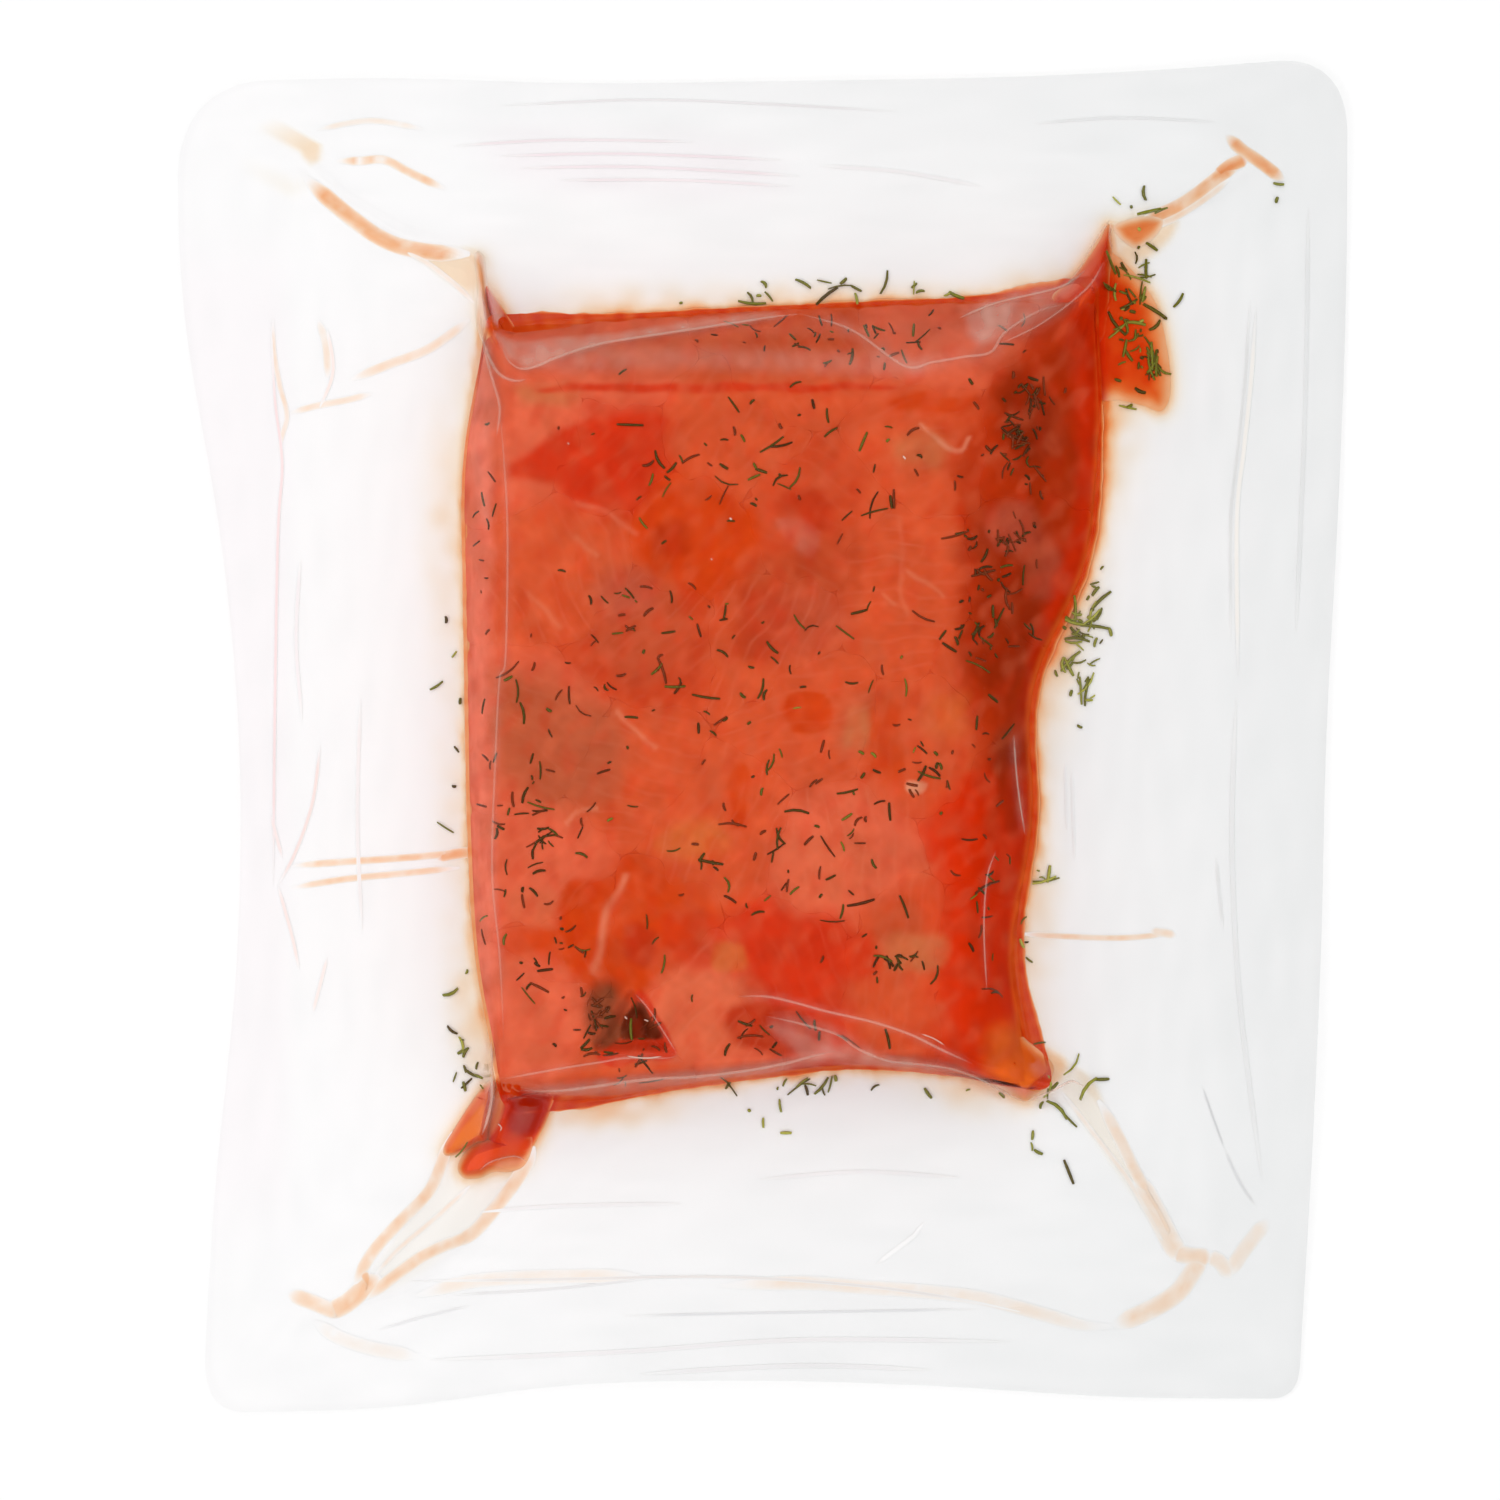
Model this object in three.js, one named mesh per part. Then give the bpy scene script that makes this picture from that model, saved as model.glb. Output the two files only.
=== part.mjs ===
// A sealed clear pack of marinated salmon pieces, lying flat on its base film.
// It is one closed solid: the pressed block of fish under the drawn-down top film, the four ears
// where the spare film of the pocket folded up at the corners, the thin skirt of film round the
// block, and the welded band along the edge.
//
// Millimetres, +Z up, +Y along the pack's length. The plan below is laid out from the middle of the
// block. The finished solid is moved so that the middle of its footprint lies at the origin, with
// the table at Z = 0.

import * as THREE from 'three';

// ---------------------------------------------------------------- driving dimensions

const BLOCK_HEIGHT = 17; // table to the top film over the fish
const SKIRT_THICKNESS = 0.5; // the two films on each other, with a little juice between them
const SHOULDER_POWER = 2.4; // how full the block's sides are: higher is steeper at the foot
const FOOT_FILLET = 0.05; // how softly the film leaves the table, as a share of the slope
const CORNER_BLEND = 0.09; // how softly two sides of the block meet, as a share of the slope
const BULGE = 0.7; // how unevenly the pieces press the film up, by the waves below
const BULGE_WAVES = [ // each: length of a full wave in X and in Y, its start, its share
  { across: 69, along: 82, start: 0.2, share: 0.5 },
  { across: 69, along: -82, start: 1.0, share: 0.5 },
  { across: 38, along: -50, start: 0, share: 0.6 },
];
const POCKET_RIM = 0.5; // the small step left by the edge of the formed pocket
const POCKET_RIM_WIDTH = 3.2;
const BAND_LIFT = 1.1; // how far the welded band waves up off the table, by the waves below
const BAND_WAVES = [ // each: full waves round the whole edge, its start, its share
  { count: 5, start: 0.7, share: 0.3 },
  { count: 10, start: -1, share: 0.2 },
];

// Each outline runs top-left, top-right, bottom-right, bottom-left, seen from above. A side leaves
// the straight line between its corners by the inward offsets at 1/6, 2/6 ... 5/6 of its length.
// "round" is the share of a side over which each corner is rounded.

const FILM_EDGE = {
  corners: [[-97.2, 108.3], [97.7, 112.9], [89.5, -110.6], [-92.8, -112.9]],
  offsets: [
    [-0.3, 1.4, 1.8, 2.1, 1.6],
    [-1.2, -1.2, -0.6, -1.0, -0.7],
    [0.7, 2.9, 4.2, 3.8, 0.4],
    [2.6, 7.0, 8.2, 5.6, 0.0],
  ],
  round: [0.07, 0.055, 0.022, 0.035],
};

const POCKET = {
  corners: [[-78.5, 97.4], [83.5, 95.8], [75.7, -92.6], [-76.8, -96.3]],
  offsets: [
    [-1.5, -2.0, -1.0, -1.5, -1.0],
    [1.0, 1.4, 1.0, 1.4, 1.5],
    [0.5, 1.0, 1.5, 2.5, 3.0],
    [-2.0, -2.0, -1.0, -2.0, -1.0],
  ],
  round: [0.03, 0.03, 0.03, 0.03],
};

const BLOCK_FOOT = {
  corners: [[-46.8, 67.4], [57.0, 73.0], [45.2, -58.9], [-44.0, -59.6]],
  offsets: [
    [-0.8, -1.2, -1.2, -1.0, -0.5],
    [-2.0, -1.6, 5.2, 3.3, 4.7],
    [2.4, 3.5, 2.2, 0.3, -1.5],
    [-3.2, -3.9, -3.9, -3.8, -3.5],
  ],
  round: [0.03, 0.03, 0.03, 0.03],
};

const BLOCK_TOP = {
  corners: [[-40.9, 57.6], [33.5, 57.2], [31.8, -51.8], [-43.3, -56.4]],
  offsets: [
    [0.4, 0.8, 0.6, 0.2, 0.0],
    [-1.0, -1.5, 0.5, 0.5, 0.5],
    [0.0, 0.5, 0.5, 0.0, 0.0],
    [-0.5, -1.0, -1.0, -1.0, -0.5],
  ],
  round: [0.09, 0.09, 0.08, 0.07],
};

// An ear runs from the block's shoulder out to the pocket's corner: places along its crest, the
// crest's height there and half its width. "reach" is how far along the way from the block's foot
// to the pocket's edge each place lies, from 0 to 1, and null for a place on the block itself.
const EARS = [
  { // top left: a sharp fin that lies over as a thin juice-filled fold
    crest: [
      { at: [-41.5, 58.5], height: 16.4, half: 3.6, reach: null },
      { at: [-44.8, 68.8], height: 12.5, half: 2.8, reach: 0 },
      { at: [-46.9, 78.6], height: 7.5, half: 2.0, reach: 0.2 },
      { at: [-60.2, 83.3], height: 3.2, half: 2.1, reach: 0.5 },
      { at: [-70.2, 89.2], height: 2.4, half: 2.2, reach: 0.75 },
      { at: [-77.5, 96.6], height: 1.2, half: 2.6, reach: 1 },
    ],
  },
  { // top right: a wide wedge of fish and juice that ends in a thin fold
    crest: [
      { at: [33.5, 57.4], height: 16.8, half: 5.0, reach: null },
      { at: [48.5, 65.0], height: 14.2, half: 5.2, reach: null },
      { at: [54.8, 74.0], height: 11.0, half: 4.2, reach: 0 },
      { at: [57.4, 84.0], height: 7.5, half: 2.4, reach: 0.2 },
      { at: [66.5, 86.0], height: 3.6, half: 2.6, reach: 0.45 },
      { at: [75.0, 90.5], height: 2.4, half: 2.0, reach: 0.75 },
      { at: [82.3, 95.0], height: 1.2, half: 2.6, reach: 1 },
    ],
  },
  { // bottom right: a short beak of juice and a long thin fold
    crest: [
      { at: [31.5, -51.5], height: 16.2, half: 4.0, reach: null },
      { at: [40.0, -56.0], height: 10.5, half: 5.0, reach: null },
      { at: [47.0, -58.0], height: 6.5, half: 4.6, reach: 0 },
      { at: [54.0, -58.8], height: 3.2, half: 2.6, reach: 0.18 },
      { at: [58.6, -67.5], height: 2.2, half: 2.0, reach: 0.4 },
      { at: [64.5, -77.8], height: 1.9, half: 1.8, reach: 0.65 },
      { at: [72.5, -89.0], height: 1.2, half: 2.6, reach: 1 },
    ],
  },
  { // bottom left: a broad flat tube of film with juice at its mouth
    crest: [
      { at: [-42.5, -55.5], height: 15.5, half: 4.5, reach: null },
      { at: [-42.0, -61.5], height: 8.0, half: 6.2, reach: 0 },
      { at: [-46.0, -69.3], height: 5.2, half: 7.4, reach: 0.2 },
      { at: [-53.5, -81.8], height: 3.8, half: 6.6, reach: 0.5 },
      { at: [-60.5, -90.0], height: 2.6, half: 4.6, reach: 0.75 },
      { at: [-70.0, -94.8], height: 1.2, half: 3.0, reach: 1 },
    ],
  },
];

// Creases stand proud of the film (height over it) along a line, with half their width.
const CREASES = [
  { // upper fold at the bottom edge
    height: 1.3,
    half: 1.6,
    line: [[-2.5, -43.2], [8.0, -44.6], [19.0, -47.6], [30.0, -51.2], [35.0, -54.5]],
  },
  { // lower fold at the bottom edge
    height: 1.5,
    half: 1.7,
    line: [[-1.0, -45.4], [6.5, -47.6], [14.5, -51.6], [25.0, -54.0], [36.0, -56.5]],
  },
  { // wandering fold across the top slope
    height: 0.8,
    half: 1.6,
    line: [[-38.0, 61.0], [-22.0, 63.6], [-4.0, 66.4], [12.0, 65.0], [28.0, 66.6]],
  },
  { // shoulder line down the left side
    height: 0.7,
    half: 1.3,
    line: [[-45.5, 52.0], [-47.3, 30.0], [-47.0, -10.0], [-45.8, -45.0]],
  },
];
const CREASE_FADE = 0.2; // share of a crease's length over which each end fades out

// Hollows dip below the film's level: a three-sided pit of trapped air, and the valley under the
// folds at the bottom edge.
const AIR_PIT = {
  corners: [[-21.4, -42.8], [-16.0, -51.4], [-26.8, -51.2]],
  depth: 2.6,
  wallWidth: 2.4,
};
const FOLD_VALLEY = { at: [4.0, -49.6], half: [9.5, 3.4], depth: 2.4 };

// ---------------------------------------------------------------- plan: outlines and their rings

const lerp = (a, b, t) => a + (b - a) * t;
const clamp01 = (t) => Math.min(1, Math.max(0, t));
const smoothstep = (t) => clamp01(t) ** 2 * (3 - 2 * clamp01(t));

// A smooth curve (Catmull-Rom) through equally spaced values, read at t from 0 to 1.
function smoothThrough(values, t) {
  const place = clamp01(t) * (values.length - 1);
  const i = Math.min(Math.floor(place), values.length - 2);
  const f = place - i;
  const before = values[Math.max(i - 1, 0)];
  const after = values[Math.min(i + 2, values.length - 1)];
  const [from, to] = [values[i], values[i + 1]];
  const bend = 2 * before - 5 * from + 4 * to - after;
  const turn = 3 * (from - to) + after - before;
  return 0.5 * (2 * from + (to - before) * f + bend * f * f + turn * f * f * f);
}

// One side of an outline: its start, direction, length, inward normal and inward offset at t.
function side(outline, k) {
  const [x0, y0] = outline.corners[k];
  const [x1, y1] = outline.corners[(k + 1) % 4];
  const length = Math.hypot(x1 - x0, y1 - y0);
  const along = [(x1 - x0) / length, (y1 - y0) / length];
  const inward = [along[1], -along[0]];
  const offset = (t) => smoothThrough([0, ...outline.offsets[k], 0], t);
  return { start: [x0, y0], along, length, inward, offset };
}

const sidesOf = (outline) => [0, 1, 2, 3].map((k) => side(outline, k));

// The point of the sharp-cornered outline at s, which counts sides from the top-left corner.
function sharpPoint(sides, s) {
  const turn = ((s % 4) + 4) % 4;
  const k = Math.floor(turn);
  const { start, along, length, inward, offset } = sides[k];
  const t = turn - k;
  const bow = offset(t);
  return [0, 1].map((axis) => start[axis] + along[axis] * length * t + inward[axis] * bow);
}

// The same outline with round corners: each point is the mean of a short stretch of the sharp one.
function outlinePoint(outline, sides, s) {
  const stretchSamples = 4;
  const k = Math.floor(((s % 4) + 4) % 4);
  const reach = lerp(outline.round[k], outline.round[(k + 1) % 4], s - Math.floor(s));
  const sum = [0, 0];
  for (let i = -stretchSamples; i <= stretchSamples; i += 1) {
    const [x, y] = sharpPoint(sides, s + (reach * i) / stretchSamples);
    sum[0] += x;
    sum[1] += y;
  }
  return sum.map((total) => total / (2 * stretchSamples + 1));
}

const filmEdgeSides = sidesOf(FILM_EDGE);
const pocketSides = sidesOf(POCKET);
const footSides = sidesOf(BLOCK_FOOT);
const topSides = sidesOf(BLOCK_TOP);

const filmEdgeAt = (s) => outlinePoint(FILM_EDGE, filmEdgeSides, s);
const pocketAt = (s) => outlinePoint(POCKET, pocketSides, s);
const footAt = (s) => outlinePoint(BLOCK_FOOT, footSides, s);
const topAt = (s) => outlinePoint(BLOCK_TOP, topSides, s);

const mix = (p, q, t) => [lerp(p[0], q[0], t), lerp(p[1], q[1], t)];

// Where an ear's crest passes a ring that lies "reach" of the way from the foot to the pocket.
function crestAtReach(ear, reach) {
  const stations = ear.crest.filter((station) => station.reach !== null);
  let i = 0;
  while (i < stations.length - 2 && stations[i + 1].reach < reach) i += 1;
  const [from, to] = [stations[i], stations[i + 1]];
  return mix(from.at, to.at, clamp01((reach - from.reach) / (to.reach - from.reach)));
}

// A ring of the skirt: a blend of foot and pocket edge, pulled onto the crest of each ear so that
// the narrow folds get points of their own.
const EAR_PULL_SPREAD = 0.16;

function skirtAt(s, reach) {
  const point = mix(footAt(s), pocketAt(s), reach);
  EARS.forEach((ear, k) => {
    const away = Math.abs(((s - k + 6) % 4) - 2);
    const pull = Math.exp(-((away / EAR_PULL_SPREAD) ** 2));
    const corner = mix(footAt(k), pocketAt(k), reach);
    const crest = crestAtReach(ear, reach);
    point[0] += pull * (crest[0] - corner[0]);
    point[1] += pull * (crest[1] - corner[1]);
  });
  return point;
}

// ---------------------------------------------------------------- relief: height over the table

// How far inside a side the point lies, measured square to it and corrected for its bow.
function insideBy({ start, along, length, inward, offset }, [x, y]) {
  const dx = x - start[0];
  const dy = y - start[1];
  const t = (dx * along[0] + dy * along[1]) / length;
  return dx * inward[0] + dy * inward[1] - offset(t);
}

// 0 outside the block's foot, 1 on its flat top, rising over each side's own slope. The four sides
// are joined by a soft minimum, which rounds the upright corners.
function climb(point) {
  let sum = 0;
  for (let k = 0; k < 4; k += 1) {
    const fromFoot = insideBy(footSides[k], point);
    const fromTop = insideBy(topSides[k], point);
    const share = fromFoot / Math.max(fromFoot - fromTop, 1);
    sum += Math.exp(-Math.min(share, 4) / CORNER_BLEND);
  }
  return -CORNER_BLEND * Math.log(sum);
}

function blockHeight([x, y]) {
  const raw = climb([x, y]);
  const share = clamp01((raw + Math.hypot(raw, FOOT_FILLET)) / 2);
  const full = 1 - (1 - share) ** SHOULDER_POWER;
  let swell = 0;
  for (const wave of BULGE_WAVES) {
    const turn = 2 * Math.PI * (x / wave.across + y / wave.along);
    swell += wave.share * Math.sin(turn + wave.start);
  }
  return full * (BLOCK_HEIGHT + BULGE * (swell * share - 1));
}

// Nearest place on a line of points: its distance, the segment it lies on and how far along.
function nearestOn(points, [x, y]) {
  let best = { distance: Infinity, segment: 0, along: 0 };
  for (let i = 0; i < points.length - 1; i += 1) {
    const [ax, ay] = points[i];
    const [bx, by] = points[i + 1];
    const span = (bx - ax) ** 2 + (by - ay) ** 2;
    const along = clamp01(((x - ax) * (bx - ax) + (y - ay) * (by - ay)) / span);
    const distance = Math.hypot(x - lerp(ax, bx, along), y - lerp(ay, by, along));
    if (distance < best.distance) best = { distance, segment: i, along };
  }
  return best;
}

// A round-topped ridge: 1 on its line, 0 beyond half its width.
const ridge = (distance, half) => Math.cos((Math.PI / 2) * Math.min(1, distance / half)) ** 2;

function raiseEars(point, below) {
  let height = below;
  for (const { crest } of EARS) {
    const { distance, segment, along } = nearestOn(crest.map((station) => station.at), point);
    const [from, to] = [crest[segment], crest[segment + 1]];
    const top = lerp(from.height, to.height, smoothstep(along));
    const half = lerp(from.half, to.half, along);
    height = Math.max(height, below + Math.max(0, top - below) * ridge(distance, half));
  }
  return height;
}

function creaseHeight(point, share) {
  let height = 0;
  for (const crease of CREASES) {
    const { distance, segment, along } = nearestOn(crease.line, point);
    const way = (segment + along) / (crease.line.length - 1);
    const fade = smoothstep(way / CREASE_FADE) * smoothstep((1 - way) / CREASE_FADE);
    height = Math.max(height, crease.height * fade * ridge(distance, crease.half));
  }
  return height * share;
}

function hollowDepth([x, y]) {
  const { corners, depth, wallWidth } = AIR_PIT;
  let inside = Infinity;
  corners.forEach(([ax, ay], i) => {
    const [bx, by] = corners[(i + 1) % corners.length];
    const across = (x - ax) * (by - ay) - (y - ay) * (bx - ax);
    inside = Math.min(inside, across / Math.hypot(bx - ax, by - ay));
  });
  const { at, half } = FOLD_VALLEY;
  const away = ((x - at[0]) / half[0]) ** 2 + ((y - at[1]) / half[1]) ** 2;
  const valley = FOLD_VALLEY.depth * Math.exp(-away);
  return Math.max(depth * smoothstep(inside / wallWidth + 0.5), valley);
}

// Height of the top film over the table at a point of the plan, inside the pocket.
function filmHeight(point) {
  const block = blockHeight(point);
  const share = clamp01(block / BLOCK_HEIGHT);
  const shaped = block + creaseHeight(point, share) - hollowDepth(point) * share;
  return SKIRT_THICKNESS + raiseEars(point, shaped);
}

// The welded band waves gently off the table towards the edge of the film.
function bandLift(s, outward) {
  let wave = 0.5;
  for (const { count, start, share } of BAND_WAVES) {
    wave += share * Math.sin((Math.PI / 2) * count * s + start);
  }
  return BAND_LIFT * wave * smoothstep(outward);
}

// ---------------------------------------------------------------- mesh: rings from the middle out

const AROUND = 144; // points round each ring
const CORNER_CROWDING = 0.78; // 0 spreads them evenly, towards 1 crowds them at the corners
const TOP_RINGS = [0.2, 0.4, 0.56, 0.7, 0.8, 0.88, 0.94, 1]; // middle of the top to its edge
const SLOPE_RINGS = [0.2, 0.4, 0.58, 0.74, 0.88, 1]; // edge of the top to the foot
const SKIRT_RINGS = [0.035, 0.08, 0.14, 0.22, 0.34, 0.48, 0.62, 0.76, 0.9]; // towards the pocket
const BAND_RINGS = [0, 0.18, 0.55, 1]; // pocket edge to film edge
const MIDDLE = [-5, 0]; // the middle of the block's flat top

function crowdedTurn(i) {
  const even = (4 * i) / AROUND;
  return even - (CORNER_CROWDING * Math.sin(2 * Math.PI * even)) / (2 * Math.PI);
}

const turns = Array.from({ length: AROUND }, (_, i) => crowdedTurn(i));

const onFilm = (point) => [...point, filmHeight(point)];

// The edge of the pocket is a low step, whose outer slope runs a little way into the band.
function onBand(s, outward) {
  const edge = skirtAt(s, 1);
  const point = mix(edge, filmEdgeAt(s), outward);
  const away = Math.hypot(point[0] - edge[0], point[1] - edge[1]);
  const rim = POCKET_RIM * ridge(away, POCKET_RIM_WIDTH);
  return [...point, SKIRT_THICKNESS + rim + bandLift(s, outward)];
}

function topRings() {
  const ringsOf = (shares, place) => shares.map((f) => turns.map((s) => place(s, f)));
  return [
    ...ringsOf(TOP_RINGS, (s, f) => onFilm(mix(MIDDLE, topAt(s), f))),
    ...ringsOf(SLOPE_RINGS, (s, f) => onFilm(mix(topAt(s), skirtAt(s, 0), f))),
    ...ringsOf(SKIRT_RINGS, (s, f) => onFilm(skirtAt(s, f))),
    ...ringsOf(BAND_RINGS, onBand),
  ];
}

function bottomRings() {
  const edge = turns.map((s) => [...filmEdgeAt(s), bandLift(s, 1)]);
  const weld = turns.map((s) => [...mix(skirtAt(s, 1), filmEdgeAt(s), BAND_RINGS[1]), 0]);
  const foot = turns.map((s) => [...footAt(s), 0]);
  return [edge, weld, foot];
}

// Joins the rings, top side outwards and bottom side back in, with a fan at each end.
function sealedPackGeometry() {
  const rings = [...topRings(), ...bottomRings()];
  const positions = [...MIDDLE, filmHeight(MIDDLE), ...rings.flat(2), ...MIDDLE, 0];
  const last = positions.length / 3 - 1;
  const at = (ring, i) => 1 + ring * AROUND + (i % AROUND);
  const faces = [];
  for (let i = 0; i < AROUND; i += 1) {
    faces.push(0, at(0, i + 1), at(0, i));
    for (let ring = 0; ring < rings.length - 1; ring += 1) {
      faces.push(at(ring, i), at(ring, i + 1), at(ring + 1, i));
      faces.push(at(ring, i + 1), at(ring + 1, i + 1), at(ring + 1, i));
    }
    faces.push(last, at(rings.length - 1, i), at(rings.length - 1, i + 1));
  }
  const geometry = new THREE.BufferGeometry();
  geometry.setAttribute('position', new THREE.Float32BufferAttribute(positions, 3));
  geometry.setIndex(faces);
  geometry.computeBoundingBox();
  const middle = geometry.boundingBox.getCenter(new THREE.Vector3());
  geometry.translate(-middle.x, -middle.y, 0);
  geometry.computeVertexNormals();
  return geometry;
}

// ---------------------------------------------------------------- the pack

const salmonUnderFilm = new THREE.MeshStandardMaterial({
  name: 'salmon_under_clear_film',
  color: new THREE.Color().setRGB(0.76, 0.29, 0.18, THREE.SRGBColorSpace),
  roughness: 0.28,
  metalness: 0,
});

const pack = new THREE.Group();
const sealedPack = new THREE.Mesh(sealedPackGeometry(), salmonUnderFilm);
sealedPack.name = 'sealed_pack';
pack.add(sealedPack);

export default pack;
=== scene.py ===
"""A clear sealed pack of marinated salmon pieces with dill, lying flat, seen from above.

From the table up it is: the base film, tinted by the thin marinade that has run out round the fish,
strips of marinade along the ears and creases, the pressed block of salmon pieces with its juice, dill
on the fish and in the skirt, and the drawn-down top film with its folds, its four ears and the welded
band along its edge.

Shapes are worked out in millimetres, from the middle of the block, as in the part's source, and
"on_table" turns them into metres in the part's own frame at the end.
"""

import bpy
import numpy as np
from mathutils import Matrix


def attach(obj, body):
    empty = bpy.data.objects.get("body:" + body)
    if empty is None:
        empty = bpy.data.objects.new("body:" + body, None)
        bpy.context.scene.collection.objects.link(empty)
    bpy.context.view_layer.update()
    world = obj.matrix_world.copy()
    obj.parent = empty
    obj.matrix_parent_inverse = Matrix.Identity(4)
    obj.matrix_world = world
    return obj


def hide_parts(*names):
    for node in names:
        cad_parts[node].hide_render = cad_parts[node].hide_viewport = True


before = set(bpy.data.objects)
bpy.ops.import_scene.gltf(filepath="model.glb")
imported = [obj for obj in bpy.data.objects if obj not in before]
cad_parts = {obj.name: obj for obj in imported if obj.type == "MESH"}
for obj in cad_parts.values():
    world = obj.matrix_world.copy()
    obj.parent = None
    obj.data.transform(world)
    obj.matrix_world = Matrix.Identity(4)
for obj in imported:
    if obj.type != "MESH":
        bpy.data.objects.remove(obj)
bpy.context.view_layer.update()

METRES = 0.001
PACK = "sealed_pack"
rng = np.random.default_rng(41)

# ------------------------------------------------------------------ the solid's own sizes, repeated

BLOCK_HEIGHT = 17.0
SKIRT_THICKNESS = 0.5
SHOULDER_POWER = 2.4
FOOT_FILLET = 0.05
CORNER_BLEND = 0.09
BULGE = 0.7
BULGE_WAVES = [(69.0, 82.0, 0.2, 0.5), (69.0, -82.0, 1.0, 0.5), (38.0, -50.0, 0.0, 0.6)]
POCKET_RIM = 0.5
POCKET_RIM_WIDTH = 3.2
BAND_LIFT = 1.1
BAND_WAVES = [(5, 0.7, 0.3), (10, -1.0, 0.2)]
EAR_PULL_SPREAD = 0.16
MIDDLE = (-5.0, 0.0)

EAR_CRESTS = {  # each station: x, y, crest height, half width, reach (None on the block itself)
    "top_left": [
        (-41.5, 58.5, 16.4, 3.6, None), (-44.8, 68.8, 12.5, 2.8, 0), (-46.9, 78.6, 7.5, 2.0, 0.2),
        (-60.2, 83.3, 3.2, 2.1, 0.5), (-70.2, 89.2, 2.4, 2.2, 0.75), (-77.5, 96.6, 1.2, 2.6, 1),
    ],
    "top_right": [
        (33.5, 57.4, 16.8, 5.0, None), (48.5, 65.0, 14.2, 5.2, None), (54.8, 74.0, 11.0, 4.2, 0),
        (57.4, 84.0, 7.5, 2.4, 0.2), (66.5, 86.0, 3.6, 2.6, 0.45), (75.0, 90.5, 2.4, 2.0, 0.75),
        (82.3, 95.0, 1.2, 2.6, 1),
    ],
    "bottom_right": [
        (31.5, -51.5, 16.2, 4.0, None), (40.0, -56.0, 10.5, 5.0, None), (47.0, -58.0, 6.5, 4.6, 0),
        (54.0, -58.8, 3.2, 2.6, 0.18), (58.6, -67.5, 2.2, 2.0, 0.4), (64.5, -77.8, 1.9, 1.8, 0.65),
        (72.5, -89.0, 1.2, 2.6, 1),
    ],
    "bottom_left": [
        (-42.5, -55.5, 15.5, 4.5, None), (-42.0, -61.5, 8.0, 6.2, 0), (-46.0, -69.3, 5.2, 7.4, 0.2),
        (-53.5, -81.8, 3.8, 6.6, 0.5), (-60.5, -90.0, 2.6, 4.6, 0.75), (-70.0, -94.8, 1.2, 3.0, 1),
    ],
}

CREASES = [  # height, half width, line
    (1.3, 1.6, [(-2.5, -43.2), (8, -44.6), (19, -47.6), (30, -51.2), (35, -54.5)]),
    (1.5, 1.7, [(-1, -45.4), (6.5, -47.6), (14.5, -51.6), (25, -54), (36, -56.5)]),
    (0.8, 1.6, [(-38, 61), (-22, 63.6), (-4, 66.4), (12, 65), (28, 66.6)]),
    (0.7, 1.3, [(-45.5, 52), (-47.3, 30), (-47, -10), (-45.8, -45)]),
]
CREASE_FADE = 0.2
AIR_PIT = [(-21.4, -42.8), (-16.0, -51.4), (-26.8, -51.2)]
AIR_PIT_DEPTH, AIR_PIT_WALL = 2.6, 2.4
VALLEY_AT, VALLEY_HALF, VALLEY_DEPTH = (4.0, -49.6), (9.5, 3.4), 2.4


# ------------------------------------------------------------------ curves and outlines

def lerp(a, b, t):
    """a at t = 0, b at t = 1, and in a straight line between."""
    return a + (b - a) * t


def smoothstep(t):
    """0 below 0, 1 above 1, and an S-shaped cubic between."""
    t = np.clip(t, 0.0, 1.0)
    return t * t * (3.0 - 2.0 * t)


def smooth_through(values, t):
    """A Catmull-Rom curve through equally spaced values, or rows of values, read at t from 0 to 1."""
    values = np.asarray(values, float)
    place = np.clip(t, 0.0, 1.0) * (len(values) - 1)
    i = np.minimum(place.astype(int), len(values) - 2)
    f = place - i
    if values.ndim > 1:
        f = f[..., None]
    before, here = values[np.maximum(i - 1, 0)], values[i]
    there, after = values[i + 1], values[np.minimum(i + 2, len(values) - 1)]
    bend = 2 * before - 5 * here + 4 * there - after
    turn = 3 * (here - there) + after - before
    return 0.5 * (2 * here + (there - before) * f + bend * f * f + turn * f ** 3)


CORNER_STEPS = 4


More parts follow.
